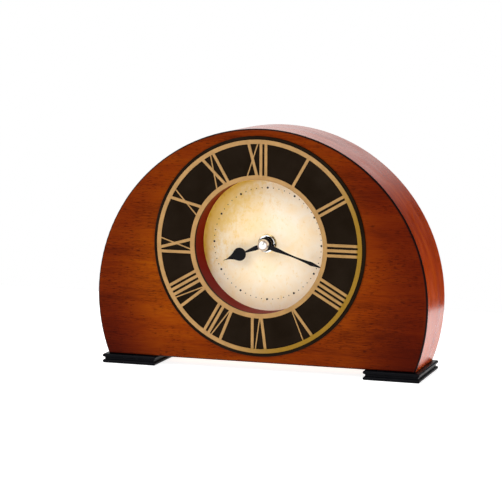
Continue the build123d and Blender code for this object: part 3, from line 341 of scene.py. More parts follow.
@dataclass(frozen=True)
class Veneer(Finish):
    """Varnished wood with streaks and pores that follow the grain."""

    light: Colour
    middle: Colour
    dark: Colour
    arch_height: float
    arch_radius: float
    grain: Grain = Grain.LEVEL
    gloss: float = 0.32
    sheen: float = 0.05
    pore: float = 0.75
    contrast: float = 1.0
    bands: Scale = (10, 95, 40)
    clouds: Scale = (16, 30, 16)
    streaks: Scale = (90, 1100, 400)
    dashes: Scale = (240, 2100, 600)
    patches: Scale = (45, 110, 30)
    wear: Scale = (40, 90, 40)

    def along(self, bench: Bench) -> Socket:
        """Lays the grain's own coordinates: first along it, then across it, then through it.

        Args:
            bench: the material in the making.

        Returns:
            The coordinates.
        """
        x, y, z = bench.parts(bench.place())
        if self.grain is Grain.LEVEL:
            return bench.vector(x, z, y)
        height = bench.math("SUBTRACT", z, self.arch_height)
        turn = bench.math("ARCTAN2", x, height)
        return bench.vector(bench.math("MULTIPLY", turn, self.arch_radius), y, 0.0)

    def figure(self, bench: Bench, along: Socket) -> Socket:
        """Colours the wood by its grain.

        Args:
            bench: the material in the making.
            along: coordinates along, across and through the grain.

        Returns:
            The colour.
        """
        bands = bench.noise(bench.stretched(along, self.bands), 1.0, 5.0, 0.6, 0.8)
        cloud = bench.noise(bench.stretched(along, self.clouds), 1.0, 3.0, 0.5)
        fine = bench.noise(bench.stretched(along, self.streaks), 1.0, 3.0, 0.6)
        tone = bench.math("ADD", bench.math("MULTIPLY", bands, 0.45), bench.math("MULTIPLY", cloud, 0.25))
        tone = bench.math("ADD", tone, bench.math("MULTIPLY", fine, 0.3))
        reach = 0.13 / self.contrast
        return bench.ramp(tone, [(0.5 - reach, self.dark), (0.5, self.middle), (0.5 + reach, self.light)])

    def pores(self, bench: Bench, along: Socket) -> Socket:
        """Marks the short dark pores.

        Args:
            bench: the material in the making.
            along: coordinates along, across and through the grain.

        Returns:
            A mask, 1 inside a pore.
        """
        dashes = bench.noise(bench.stretched(along, self.dashes), 1.0, 2.0, 0.5)
        patches = bench.noise(bench.stretched(along, self.patches), 1.0, 2.0, 0.5)
        return bench.math("MULTIPLY", bench.span(dashes, 0.55, 0.66), bench.span(patches, 0.36, 0.52))

    def shade(self, bench: Bench, colour: Socket) -> Socket:
        """Leaves the colour as it is; a kind of veneer may stain it by place.

        Args:
            bench: the material in the making.
            colour: the wood's colour.

        Returns:
            The stained colour.
        """
        return colour

    def make(self, bench: Bench) -> bpy.types.Material:
        """Builds the veneer.

        Args:
            bench: the material to fill.

        Returns:
            The material.
        """
        along = self.along(bench)
        pores = self.pores(bench, along)
        deep = tuple(c * 0.35 for c in self.dark)
        colour = bench.mix(bench.math("MULTIPLY", pores, self.pore), self.figure(bench, along), deep)
        wear = bench.noise(bench.stretched(along, self.wear), 1.0, 3.0)
        ripple = bench.math("SUBTRACT", bench.noise(along, 45.0, 2.0), bench.math("MULTIPLY", pores, 0.3))
        return bench.close(
            Base_Color=self.shade(bench, colour),
            Roughness=bench.span(wear, 0.3, 0.7, self.gloss, self.gloss + 0.1),
            Specular_IOR_Level=self.sheen,
            Normal=bench.bump(ripple, 0.00003, 0.3),
        )


@dataclass(frozen=True, kw_only=True)
class SunburstVeneer(Veneer):
    """Front veneer, lighter round the dial and darker at the edges, with painted shade towards the bottom
    and right, and a red bore behind the ring whose front strip holds a painted shadow.
    """

    dial_height: float
    base_height: float
    bore_radius: float = 45.2 * MM
    edge_line: float = 1.2 * MM
    # depth where the painted shadow on the front strip of the bore wall ends
    bore_front_shadow_depth: float = -21.4 * MM
    bore: Colour = (0.16, 0.0004, 0.0003)
    # near black: the board's dark edge line, and the painted shadow on the front strip of the bore wall
    rim: Colour = (0.006, 0.003, 0.003)
    burst_reach: Range = (72 * MM, 117 * MM)
    low_reach: Range = (8 * MM, 28 * MM)
    side_reach: Range = (60 * MM, 110 * MM)
    corner_reach: Range = (15 * MM, 60 * MM)
    # reaches of the painted shade towards the bottom and towards the right side
    floor_shade_reach: Range = (20 * MM, 65 * MM)
    right_shade_reach: Range = (35 * MM, 80 * MM)

    def stain(self, bench: Bench, colour: Socket, from_arch: Socket) -> Socket:
        """Darkens the board towards its edges and its corners, and paints shade towards its bottom and its
        right side.

        Args:
            bench: the material in the making.
            colour: the wood's colour.
            from_arch: distance from the middle of the arch.

        Returns:
            The stained colour.
        """
        x, _, z = bench.parts(bench.place())
        drift = bench.math("MULTIPLY", bench.noise(bench.place(), 18.0, 2.0), 14 * MM)
        burst = bench.span(bench.math("ADD", from_arch, drift), *self.burst_reach)
        side = bench.span(bench.math("ABSOLUTE", x), *self.side_reach)
        low = bench.span(z, *self.low_reach, 1.0, 0.0)
        corner = bench.math("MULTIPLY", bench.span(z, *self.corner_reach, 1.0, 0.0), side)
        # painted shade: darker towards the bottom and the right side, away from the key light; tinted by the
        # last row below
        floor_shade = bench.span(z, *self.floor_shade_reach, 0.85, 0.0)
        shadow = bench.math("MAXIMUM", floor_shade, bench.span(x, *self.right_shade_reach))
        for mask, share, tint in (
            (burst, 0.8, (0.5, 0.26, 0.12)),
            (low, 0.4, (0.4, 0.2, 0.1)),
            (side, 0.5, (0.62, 0.4, 0.2)),
            (corner, 0.6, (0.6, 0.4, 0.2)),
            (shadow, 1.0, (0.76, 0.55, 0.5)),
        ):
            colour = bench.mix(bench.math("MULTIPLY", mask, share), colour, tint, "MULTIPLY")
        return colour

    def shade(self, bench: Bench, colour: Socket) -> Socket:
        """Stains and shades the board, blackens its rounded edge, colours the bore and paints a shadow on
        the front strip of its wall.

        Args:
            bench: the material in the making.
            colour: the wood's colour.

        Returns:
            The finished colour.
        """
        x, y, z = bench.parts(bench.place())
        from_arch = bench.length(x, bench.math("SUBTRACT", z, self.arch_height))
        # stain plus painted shade towards the bottom and the right side
        stained = self.stain(bench, colour, from_arch)
        line = bench.span(from_arch, self.arch_radius - self.edge_line, self.arch_radius - 0.4 * MM)
        foot = bench.span(z, self.base_height + 0.3 * MM, self.base_height + self.edge_line, 1.0, 0.0)
        edged = bench.mix(bench.math("MAXIMUM", line, foot), stained, self.rim)
        from_dial = bench.length(x, bench.math("SUBTRACT", z, self.dial_height))
        hole = bench.span(from_dial, self.bore_radius + 0.1 * MM, self.bore_radius + 0.3 * MM, 1.0, 0.0)
        # painted shadow: the bore wall's front strip, next to the ring's inner edge, turns near black
        bore_front_shadow = bench.span(y, self.bore_front_shadow_depth, self.bore_front_shadow_depth + 0.3 * MM, 1.0, 0.0)
        return bench.mix(hole, edged, bench.mix(bore_front_shadow, self.bore, self.rim))


@dataclass(frozen=True)
class Lacquer(Finish):
    """Sprayed paint or lacquer with a faint orange peel."""

    colour: Colour
    gloss: float = 0.3
    peel: float = 0.00004
    sheen: float = 0.05

    def make(self, bench: Bench) -> bpy.types.Material:
        """Builds the lacquer.

        Args:
            bench: the material to fill.

        Returns:
            The material.
        """
        place = bench.place()
        peel = bench.noise(place, 900.0, 2.0)
        cloud = bench.noise(place, 60.0, 3.0)
        brighter = tuple(min(1.0, c * 1.35 + 0.002) for c in self.colour)
        return bench.close(
            Base_Color=bench.ramp(cloud, [(0.35, self.colour), (0.7, brighter)]),
            Roughness=bench.span(cloud, 0.3, 0.7, self.gloss - 0.03, self.gloss + 0.05),
            Specular_IOR_Level=self.sheen,
            Normal=bench.bump(peel, self.peel, 0.4),
        )


@dataclass(frozen=True)
class Metal(Finish):
    """Bare or plated metal with fine brushing or turning marks."""

    colour: Colour
    gloss: float = 0.3
    scratch: float = 0.4
    stretch: tuple[float, float, float] = (900.0, 900.0, 900.0)

    def make(self, bench: Bench) -> bpy.types.Material:
        """Builds the metal.

        Args:
            bench: the material to fill.

        Returns:
            The material.
        """
        place = bench.place()
        marks = bench.noise(bench.stretched(place, self.stretch), 1.0, 3.0, 0.6)
        tarnish = bench.noise(place, 130.0, 4.0, 0.6)
        duller = tuple(c * 0.88 for c in self.colour)
        smooth, rough = self.gloss * (1 - self.scratch / 2), self.gloss * (1 + self.scratch / 2)
        return bench.close(
            Base_Color=bench.ramp(tarnish, [(0.32, duller), (0.62, self.colour)]),
            Metallic=1.0,
            Roughness=bench.span(marks, 0.3, 0.7, smooth, rough),
            Normal=bench.bump(marks, 0.00001, self.scratch),
        )


@dataclass(frozen=True)
class ShadedBrass(Finish):
    """Lacquered sheet brass with painted shade: darker gold towards the lower right, away from the key
    light.
    """

    colour: Colour
    # painted shade colour, mixed in towards the lower right
    shade_tint: Colour
    dial_height: float
    outer_band: Range = (66 * MM, 68.5 * MM)
    # reach of the painted shade along the slant towards the lower right
    shade_tint_from: Range = (5 * MM, 60 * MM)

    def make(self, bench: Bench) -> bpy.types.Material:
        """Builds the brass.

        Args:
            bench: the material to fill.

        Returns:
            The material.
        """
        place = bench.place()
        x, _, z = bench.parts(place)
        up = bench.math("SUBTRACT", z, self.dial_height)
        slant = bench.math("SUBTRACT", bench.math("MULTIPLY", x, 0.85), bench.math("MULTIPLY", up, 0.5))
        outer = bench.span(bench.length(x, up), *self.outer_band)
        # painted shade: grows towards the lower right, away from the key light, most on the outer band
        brass_shade = bench.math("MULTIPLY", bench.span(slant, *self.shade_tint_from), bench.math("ADD", outer, 0.15))
        tarnish = bench.noise(place, 160.0, 4.0, 0.6)
        duller = tuple(c * 0.82 for c in self.colour)
        colour = bench.ramp(tarnish, [(0.32, duller), (0.6, self.colour)])
        brush = bench.noise(bench.stretched(place, (300, 300, 2400)), 1.0, 3.0, 0.6)
        return bench.close(
            Base_Color=bench.mix(brass_shade, colour, self.shade_tint),
            Metallic=1.0,
            Roughness=bench.span(brush, 0.3, 0.7, 0.4, 0.52),
            Normal=bench.bump(brush, 0.00001, 0.3),
        )


@dataclass(frozen=True)
class CellSleeve(Finish):
    """Printed plastic sleeve of a battery: dark, with a coppery band at its positive end."""

    body: Colour
    band: Colour
    band_start: float
    line: Colour = (0.7, 0.7, 0.68)
    line_edge: Range = (0.3 * MM, 0.5 * MM)

    def make(self, bench: Bench) -> bpy.types.Material:
        """Builds the sleeve.

        Args:
            bench: the material to fill.

        Returns:
            The material.
        """
        place = bench.place()
        x, _, _ = bench.parts(place)
        scuff = bench.noise(bench.stretched(place, (900, 300, 300)), 1.0, 3.0, 0.6)
        beside = bench.span(
            bench.math("ABSOLUTE", bench.math("SUBTRACT", x, self.band_start)), *self.line_edge
        )
        two = bench.mix(bench.span(x, self.band_start, self.band_start + 0.1 * MM), self.body, self.band)
        return bench.close(
            Base_Color=bench.mix(beside, self.line, two),
            Roughness=bench.span(scuff, 0.3, 0.7, 0.16, 0.3),
            Normal=bench.bump(scuff, 0.00001, 0.3),
        )


@dataclass(frozen=True, kw_only=True)
class Parchment(Finish):
    """Printed dial face with mottled colour that looks old, stained most towards the upper left, with
    painted shade along its upper-left edge.
    """

    dial_height: float
    pale: Colour = (0.95, 0.83, 0.65)
    warm: Colour = (0.95, 0.74, 0.46)
    stain: Colour = (0.86, 0.56, 0.12)
    # colour of the painted shade along the dial's upper-left edge, under the bore wall
    edge: Colour = (0.72, 0.40, 0.02)
    blot: Point = (-12 * MM, 18 * MM)
    blot_reach: Range = (12 * MM, 30 * MM)
    corner_reach: Range = (30 * MM, 52 * MM)
    # radii and reach of that painted shade
    wall_shade_radii: Range = (40.5 * MM, 44.5 * MM)
    wall_shade_reach: Range = (12 * MM, 30 * MM)

    def make(self, bench: Bench) -> bpy.types.Material:
        """Builds the printed paper.

        Args:
            bench: the material to fill.

        Returns:
            The material.
        """
        place = bench.place()
        x, _, z = bench.parts(place)
        up = bench.math("SUBTRACT", z, self.dial_height)
        corner = bench.math("ADD", bench.math("MULTIPLY", x, -0.75), bench.math("MULTIPLY", up, 0.55))
        cloud = bench.noise(place, 70.0, 5.0, 0.65, 0.6)
        specks = bench.noise(bench.stretched(place, (330, 330, 220)), 1.0, 5.0, 0.75)
        flecks = bench.noise(bench.stretched(place, (420, 420, 260)), 1.0, 4.0, 0.7)
        fibre = bench.noise(place, 1500.0, 2.0)
        near = bench.math("ADD", corner, bench.math("MULTIPLY", cloud, 22 * MM))
        from_blot = bench.length(
            bench.math("SUBTRACT", x, self.blot[0]), bench.math("SUBTRACT", up, self.blot[1])
        )
        ring = bench.math("ADD", from_blot, bench.math("MULTIPLY", specks, 18 * MM))
        # painted shade: darker ochre along the dial's edge towards the upper left, where the bore wall
        # shades it
        wall_shade = bench.math(
            "MULTIPLY",
            bench.span(bench.length(x, up), *self.wall_shade_radii),
            bench.span(corner, *self.wall_shade_reach),
        )
        left = bench.math("ADD", bench.math("MULTIPLY", corner, 6.0), specks)
        colour = bench.ramp(cloud, [(0.35, self.pale), (0.68, self.warm)])
        for mask, tint in (
            (bench.span(near, *self.corner_reach, 0.0, 0.85), self.stain),
            (bench.span(ring, *self.blot_reach, 0.3, 0.0), self.stain),
            (wall_shade, self.edge),
            (bench.span(left, 0.56, 0.82, 0.0, 0.7), self.stain),
            (bench.span(flecks, 0.58, 0.7, 0.0, 0.45), self.stain),
        ):
            colour = bench.mix(mask, colour, tint)
        return bench.close(
            Base_Color=colour,
            Roughness=bench.span(fibre, 0.3, 0.7, 0.62, 0.72),
            Specular_IOR_Level=0.2,
            Normal=bench.bump(fibre, 0.00002, 0.3),
        )


@dataclass(frozen=True)
class Moulding(Finish):
    """Moulded plastic, rubber or resin with a spark-eroded texture."""

    colour: Colour
    gloss: float = 0.45
    texture: float = 0.00002

    def make(self, bench: Bench) -> bpy.types.Material:
        """Builds the plastic.

        Args:
            bench: the material to fill.

        Returns:
            The material.
        """
        place = bench.place()
        sparks = bench.noise(place, 2600.0, 2.0)
        flow = bench.noise(bench.stretched(place, (90, 90, 30)), 1.0, 3.0)
        lighter = tuple(min(1.0, c * 1.18 + 0.004) for c in self.colour)
        return bench.close(
            Base_Color=bench.ramp(flow, [(0.35, self.colour), (0.7, lighter)]),
            Roughness=bench.span(sparks, 0.3, 0.7, self.gloss - 0.05, self.gloss + 0.05),
            Normal=bench.bump(sparks, self.texture, 0.6),
        )


@dataclass(frozen=True)
class Hardboard(Finish):
    """Pressed fibre board, smooth with short matted fibres."""

    colour: Colour = (0.10, 0.048, 0.022)

    def make(self, bench: Bench) -> bpy.types.Material:
        """Builds the board.

        Args:
            bench: the material to fill.

        Returns:
            The material.
        """
        place = bench.place()
        fibres = bench.noise(bench.stretched(place, (700, 700, 320)), 1.0, 4.0, 0.7, 1.5)
        cloud = bench.noise(place, 30.0, 4.0)
        lighter = tuple(c * 1.9 for c in self.colour)
        fibre_tone = bench.ramp(fibres, [(0.35, self.colour), (0.65, lighter)])
        return bench.close(
            Base_Color=bench.mix(bench.span(cloud, 0.3, 0.7, 0.0, 0.35), fibre_tone, self.colour),
            Roughness=bench.span(cloud, 0.3, 0.7, 0.5, 0.62),
            Normal=bench.bump(fibres, 0.00006, 0.5),
        )


def dress(nodes: dict[str, bpy.types.Object], finish: Finish, *names: str) -> None:
    """Gives CAD nodes a finish.

    Args:
        nodes: the frame's nodes by name.
        finish: the finish.
        names: nodes to dress.
    """
    for name in names:
        for place in nodes[name].material_slots:
            place.material = finish.material()
        LOG.info("%s: %s", name, finish.name)


def middle_of(name: str) -> Vector:
    """Returns the middle of a CAD node's box."""
    low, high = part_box(name)
    return (low + high) / 2


@dataclass
class GeometryTree:
    """A Geometry Nodes tree in the making, with its named inputs."""

    name: str
    inputs: dict[str, float | int] = field(default_factory=dict)

    def __post_init__(self) -> None:
        """Opens the tree with a geometry output and one number input for each size."""
        self.tree = bpy.data.node_groups.new(self.name, "GeometryNodeTree")
        self.tree.interface.new_socket("Geometry", in_out="OUTPUT", socket_type="NodeSocketGeometry")
        for label, value in self.inputs.items():
            kind = "NodeSocketInt" if isinstance(value, int) else "NodeSocketFloat"
            self.tree.interface.new_socket(label, in_out="INPUT", socket_type=kind)
        self.entry = self.tree.nodes.new("NodeGroupInput")
        self.exit = self.tree.nodes.new("NodeGroupOutput")

    def size(self, label: str) -> Socket:
        """Returns the socket of a named input."""
        return self.entry.outputs[label]

    def node(self, kind: str, links: dict[str | int, Any] | None = None, **settings: Any) -> bpy.types.Node:
        """Adds a node and feeds it.

        Args:
            kind: the node's full type.
            links: values or output sockets by input name or number.
            settings: properties to set on it.

        Returns:
            The new node.
        """
        made = self.tree.nodes.new(kind)
        for name, value in settings.items():
            setattr(made, name, value)
        for key, value in (links or {}).items():
            if isinstance(value, bpy.types.NodeSocket):
                self.tree.links.new(value, made.inputs[key])
            else:
                made.inputs[key].default_value = value
        return made

    def piece(self, geometry: Socket, finish: Finish) -> bpy.types.Object:
        """Ends the tree and turns its result into a plain mesh object.

        Args:
            geometry: the last geometry socket.
            finish: finish of the whole piece.

        Returns:
            The new object, at the origin.
        """
        solid = self.node("GeometryNodeRealizeInstances", {"Geometry": geometry})
        dressed = self.node(
            "GeometryNodeSetMaterial", {"Geometry": solid.outputs[0], "Material": finish.material()}
        )
        self.tree.links.new(dressed.outputs[0], self.exit.inputs[0])
        made = bpy.data.objects.new(self.name, bpy.data.meshes.new(self.name + "_seed"))
        bpy.context.scene.collection.objects.link(made)
        modifier = made.modifiers.new("shape", "NODES")
        modifier.node_group = self.tree
        for item in self.tree.interface.items_tree:
            if item.item_type == "SOCKET" and item.in_out == "INPUT":
                modifier[item.identifier] = self.inputs[item.name]
        ready = made.evaluated_get(bpy.context.evaluated_depsgraph_get())
        mesh = bpy.data.meshes.new_from_object(ready)
        made.modifiers.remove(modifier)
        made.data = mesh
        mesh.name = self.name
        return made


@dataclass
class WoodenCase:
    """Front board, rim, hoop, base, back and feet."""

    frame: dict[str, Any]

    def dress(self) -> None:
        """Gives the wooden pieces their finishes."""
        low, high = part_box("rim_veneer")
        radius = (high.x - low.x) / 2
        arch = high.z - radius
        front = SunburstVeneer(
            "front_veneer",
            light=(0.31, 0.074, 0.0009),
            middle=(0.245, 0.045, 0.0005),
            dark=(0.115, 0.017, 0.0003),
            arch_height=arch,
            arch_radius=radius,
            sheen=0.03,
            contrast=0.85,
            dial_height=middle_of("dial_plate").z,
            base_height=low.z,
        )
        rim = Veneer(
            "rim_veneer_wood",
            light=(0.66, 0.105, 0.002),
            middle=(0.53, 0.052, 0.0008),
            dark=(0.2, 0.012, 0.0008),
            arch_height=arch,
            arch_radius=radius,
            grain=Grain.AROUND_ARCH,
            gloss=0.17,
            sheen=0.35,
            pore=0.3,
            contrast=0.7,
        )
        plain = Veneer(
            "hoop_wood_bare",
            light=(0.46, 0.24, 0.10),
            middle=(0.34, 0.16, 0.065),
            dark=(0.20, 0.09, 0.035),
            arch_height=arch,
            arch_radius=radius,
            gloss=0.55,
            sheen=0.3,
        )
        foot_black = Lacquer("foot_black", (0.0015, 0.0015, 0.0025), 0.25, sheen=0.035)
        nodes = self.frame["nodes"]
        dress(nodes, front, "front_panel")
        dress(nodes, rim, "rim_veneer")
        dress(nodes, plain, "rim_hoop", "base_board")
        dress(nodes, Hardboard("back_hardboard"), "back_panel")
        dress(nodes, foot_black, "foot_left", "foot_right")
        dress(nodes, Metal("screw_brass_plain", (0.75, 0.55, 0.26), 0.3), "back_screws")
        dress(nodes, Metal("screw_zinc", (0.6, 0.6, 0.62), 0.35), "foot_screws", "dial_screws")


@dataclass
class ChapterRing:
    """Black ring with the pierced metal numerals."""

    frame: dict[str, Any]

    def dress(self) -> None:
        """Gives the ring its paint and its lacquered brass."""
        nodes = self.frame["nodes"]
        black = Lacquer("ring_black_paint", (0.007, 0.0035, 0.001), 0.42, sheen=0.03)
        middle = middle_of("chapter_fretwork")
        # the second colour is the brass's painted shade towards the lower right
        brass = ShadedBrass("ring_brass_lacquered", (0.43, 0.25, 0.10), (0.27, 0.15, 0.02), middle.z)
        dress(nodes, black, "chapter_backing")
        dress(nodes, brass, "chapter_fretwork")


@dataclass
class Dial:
    """Printed face with its minute track, its plate and the parts that clamp the movement."""

    frame: dict[str, Any]
    track_radius: float = 37.5 * MM
    dot_radius: float = 0.33 * MM
    hour_dot_radius: float = 0.72 * MM
    print_height: float = 0.03 * MM
    minutes: int = 60

    def track(self) -> bpy.types.Object:
        """Builds the ring of minute dots, each hour's dot larger.

        Returns:
            The printed dots.
        """
        tree = GeometryTree(
            "minute_track",
            {
                "Minutes": self.minutes,
                "Track radius": self.track_radius,
                "Minute dot radius": self.dot_radius,
                "Hour dot radius": self.hour_dot_radius,
                "Print height": self.print_height,
            },
        )
        ring = tree.node(
            "GeometryNodeMeshCircle", {"Vertices": tree.size("Minutes"), "Radius": tree.size("Track radius")}
        )
        dot = tree.node(
            "GeometryNodeMeshCylinder", {"Vertices": 14, "Radius": 1.0, "Depth": tree.size("Print height")}
        )
        index = tree.node("GeometryNodeInputIndex")
        fifth = tree.node("ShaderNodeMath", {0: index.outputs[0], 1: 5.0}, operation="MODULO")
        on_hour = tree.node("ShaderNodeMath", {0: fifth.outputs[0], 1: 0.5}, operation="LESS_THAN")
        width = tree.node(
            "ShaderNodeMapRange",
            {
                "Value": on_hour.outputs[0],
                "To Min": tree.size("Minute dot radius"),
                "To Max": tree.size("Hour dot radius"),
            },
        )
        scale = tree.node("ShaderNodeCombineXYZ", {0: width.outputs[0], 1: width.outputs[0], 2: 1.0})
        dots = tree.node(
            "GeometryNodeInstanceOnPoints",
            {"Points": ring.outputs[0], "Instance": dot.outputs[0], "Scale": scale.outputs[0]},
        )
        middle = middle_of("dial_paper")
        middle.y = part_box("dial_paper")[0].y - self.print_height / 2
        stood = tree.node(
            "GeometryNodeTransform",
            {"Geometry": dots.outputs[0], "Translation": middle, "Rotation": (math.pi / 2, 0.0, 0.0)},
        )
        return tree.piece(stood.outputs[0], Lacquer("dial_ink", (0.012, 0.010, 0.012), 0.6))

    def dress(self) -> None:
        """Prints the track and gives the dial's pieces their finishes."""
        track = self.track()
        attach(track, CASE_BODY)
        LOG.info("%s: %d dots", track.name, self.minutes)
        nodes = self.frame["nodes"]
        paper = Parchment(name="dial_parchment", dial_height=middle_of("dial_paper").z)
        plate = Metal("dial_aluminium", (0.8, 0.8, 0.81), 0.38, 0.4, (60.0, 60.0, 2500.0))
        dress(nodes, paper, "dial_paper")
        dress(nodes, plate, "dial_plate")
        dress(nodes, Metal("chrome_bright", (0.82, 0.83, 0.85), 0.07, 0.2), "mounting_nut")
        dress(nodes, Metal("brass_turned", (0.78, 0.58, 0.28), 0.25), "threaded_bushing", "dial_washer")
        dress(nodes, Moulding("rubber_black", (0.02, 0.02, 0.02), 0.7), "rubber_gasket")


@dataclass
class Hands:
    """Hour and minute hands with their cap nut."""

    frame: dict[str, Any]

    def dress(self) -> None:
        """Gives the hands their black finish and the nut its polish."""
        nodes = self.frame["nodes"]
        black = Lacquer("hand_black_satin", (0.005, 0.005, 0.006), 0.32, 0.00001)
        dress(nodes, black, "hour_hand", "minute_hand")
        dress(nodes, Metal("cap_nut_polished", (1.0, 0.98, 0.92), 0.36, 0.1), "hand_nut")
        dress(nodes, Metal("arbor_brass", (0.78, 0.58, 0.28), 0.25), "minute_arbor")


@dataclass
class Movement:
    """Quartz movement: case, wheels, drive and electrics."""

    frame: dict[str, Any]
    ribs: int = 8
    rib_length: float = 17.0 * MM
    rib_width: float = 0.8 * MM
    rib_pitch: float = 2.1 * MM
    rib_side_gap: float = 5.0 * MM
    rib_drop: float = 24.5 * MM
    relief: float = 0.35 * MM
    mark: float = 3.2 * MM
    mark_side_gap: float = 6.0 * MM
    mark_rise: float = 1.6 * MM
    stroke: float = 0.7 * MM
    arrow_radius: float = 6.3 * MM
    arrow_start: int = 35
    arrow_turn: int = 110
    arrow_step: int = 5
    arrow_tip: float = 0.28

    def cover_ribs(self, finish: Finish) -> bpy.types.Object:
        """Builds the row of moulded ribs on the rear cover.

        Args:
            finish: the cover's finish.

        Returns:
            The ribs.
        """
        low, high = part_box("movement_rear_cover")
        tree = GeometryTree(
            "cover_ribs",
            {
                "Ribs": self.ribs,
                "Rib length": self.rib_length,
                "Rib width": self.rib_width,
                "Rib pitch": self.rib_pitch,
                "Relief": self.relief,
            },
        )
        step = tree.node("ShaderNodeCombineXYZ", {2: tree.size("Rib pitch")})
        start = (low.x + self.rib_length / 2 + self.rib_side_gap, high.y, high.z - self.rib_drop)
        row = tree.node(
            "GeometryNodeMeshLine",
            {"Count": tree.size("Ribs"), "Start Location": start, "Offset": step.outputs[0]},
        )
        depth = tree.node("ShaderNodeMath", {0: tree.size("Relief"), 1: 2.0}, operation="MULTIPLY")
        size = tree.node(
            "ShaderNodeCombineXYZ",
            {0: tree.size("Rib length"), 1: depth.outputs[0], 2: tree.size("Rib width")},
        )
        rib = tree.node("GeometryNodeMeshCube", {"Size": size.outputs[0]})
        ribs = tree.node(
            "GeometryNodeInstanceOnPoints", {"Points": row.outputs[0], "Instance": rib.outputs[0]}
        )
        return tree.piece(ribs.outputs[0], finish)

    def battery_signs(self) -> list[list[Point]]:
        """Draws the minus and the plus sign above the battery's ends.

        Returns:
            Their outlines, as X and Z.
        """
        low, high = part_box("movement_rear_cover")
        half, thin = self.mark / 2, self.stroke / 2
        z = low.z + half + self.mark_rise
        minus = [(-half, -thin), (half, -thin), (half, thin), (-half, thin)]
        plus = [(-half, -thin), (-thin, -thin), (-thin, -half), (thin, -half), (thin, -thin), (half, -thin)]
        plus += [(-x, -y) for x, y in plus]
        left, right = low.x + self.mark_side_gap, high.x - self.mark_side_gap
        return [[(x + px, z + pz) for px, pz in sign] for x, sign in ((left, minus), (right, plus))]

    def knob_arrow(self) -> list[list[Point]]:
        """Draws the arrow that runs round the setting knob.

        Returns:
            Outlines of its band and its head, as X and Z.
        """
        knob = middle_of("setting_knob")
        steps = range(self.arrow_start, self.arrow_start + self.arrow_turn + 1, self.arrow_step)
        turns = [math.radians(step) for step in steps]
        inner, outer = self.arrow_radius, self.arrow_radius + self.stroke

        def at(radius: float, turn: float) -> Point:
            """Returns a point round the knob."""
            return knob.x + radius * math.cos(turn), knob.z + radius * math.sin(turn)

        band = [at(outer, turn) for turn in turns] + [at(inner, turn) for turn in reversed(turns)]
        middle, wing, end = (inner + outer) / 2, self.stroke * 1.5, turns[-1]
        head = [at(middle - wing, end), at(middle + wing, end), at(middle, end + self.arrow_tip)]
        return [band, head]

    def cover_marks(self, finish: Finish) -> bpy.types.Object:
        """Builds the raised signs and the arrow on the rear cover.

        Args:
            finish: the cover's finish.

        Returns:
            The marks.
        """
        _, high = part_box("movement_rear_cover")
        shapes = self.battery_signs() + self.knob_arrow()
        mesh = bpy.data.meshes.new("cover_marks")
        build = bmesh.new()
        for shape in shapes:
            rear = [build.verts.new((px, high.y + self.relief, pz)) for px, pz in shape]
            front = [build.verts.new((px, high.y - self.relief, pz)) for px, pz in shape]
            build.faces.new(rear)
            build.faces.new(list(reversed(front)))
            for first in range(len(shape)):
                second = (first + 1) % len(shape)
                build.faces.new((rear[second], rear[first], front[first], front[second]))
        bmesh.ops.recalc_face_normals(build, faces=build.faces)
        build.to_mesh(mesh)
        build.free()
        mesh.materials.append(finish.material())
        made = bpy.data.objects.new("cover_marks", mesh)
        bpy.context.scene.collection.objects.link(made)
        return made

    def dress(self) -> None:
        """Adds the rear cover's relief and gives the movement's pieces their finishes."""
        nodes = self.frame["nodes"]
        black = Moulding("movement_black", (0.016, 0.016, 0.018), 0.5, 0.00005)
        for made in (self.cover_ribs(black), self.cover_marks(black)):
            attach(made, CASE_BODY)
            LOG.info("%s: %d faces", made.name, len(made.data.polygons))
        white = Moulding("wheel_acetal", (0.82, 0.80, 0.74), 0.38, 0.00001)
        iron = Metal("iron_plain", (0.5, 0.5, 0.5), 0.4)
        nickel = Metal("nickel_plate", (0.72, 0.69, 0.64), 0.25)
        dress(nodes, black, "movement_front_shell", "movement_rear_cover")
        wheels = ("hour_wheel", "motion_wheel", "setting_shaft", "rotor", "intermediate_wheel")
        dress(nodes, white, *wheels, "seconds_wheel", "third_wheel", "centre_wheel", "train_bridge")
        dress(nodes, Moulding("knob_red", (0.42, 0.03, 0.02), 0.4), "setting_knob")
        dress(nodes, iron, "stator", "coil_core")
        dress(nodes, Metal("magnet_sintered", (0.2, 0.2, 0.21), 0.5), "rotor_magnet")
        dress(nodes, Moulding("bobbin_natural", (0.7, 0.66, 0.55), 0.3), "coil_bobbin")
        copper = Metal("copper_enamelled", (0.75, 0.30, 0.13), 0.3, 0.6, (9000.0, 300.0, 300.0))
        dress(nodes, copper, "coil_winding")
        dress(nodes, Moulding("board_green", (0.03, 0.13, 0.05), 0.3), "circuit_board")
        dress(nodes, Moulding("resin_black", (0.01, 0.01, 0.01), 0.2), "chip_blob")
        dress(nodes, nickel, "quartz_crystal", "contact_positive", "contact_negative")


@dataclass
class Battery:
    """Replaceable cell in the movement's bay."""

    frame: dict[str, Any]
    band: float = 13.0 * MM

    def dress(self) -> None:
        """Gives the cell its steel and its sleeve."""
        nodes = self.frame["nodes"]
        dress(nodes, Metal("cell_nickel", (0.72, 0.71, 0.68), 0.22), "battery_cell")
        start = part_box("battery_sleeve")[1].x - self.band
        sleeve = CellSleeve("cell_sleeve_print", (0.012, 0.014, 0.02), (0.42, 0.17, 0.06), start)
        dress(nodes, sleeve, "battery_sleeve")


@dataclass(frozen=True)
class SoftLight:
    """A square soft light."""

    name: str
    place: tuple[float, float, float]
    size: float
    power: float


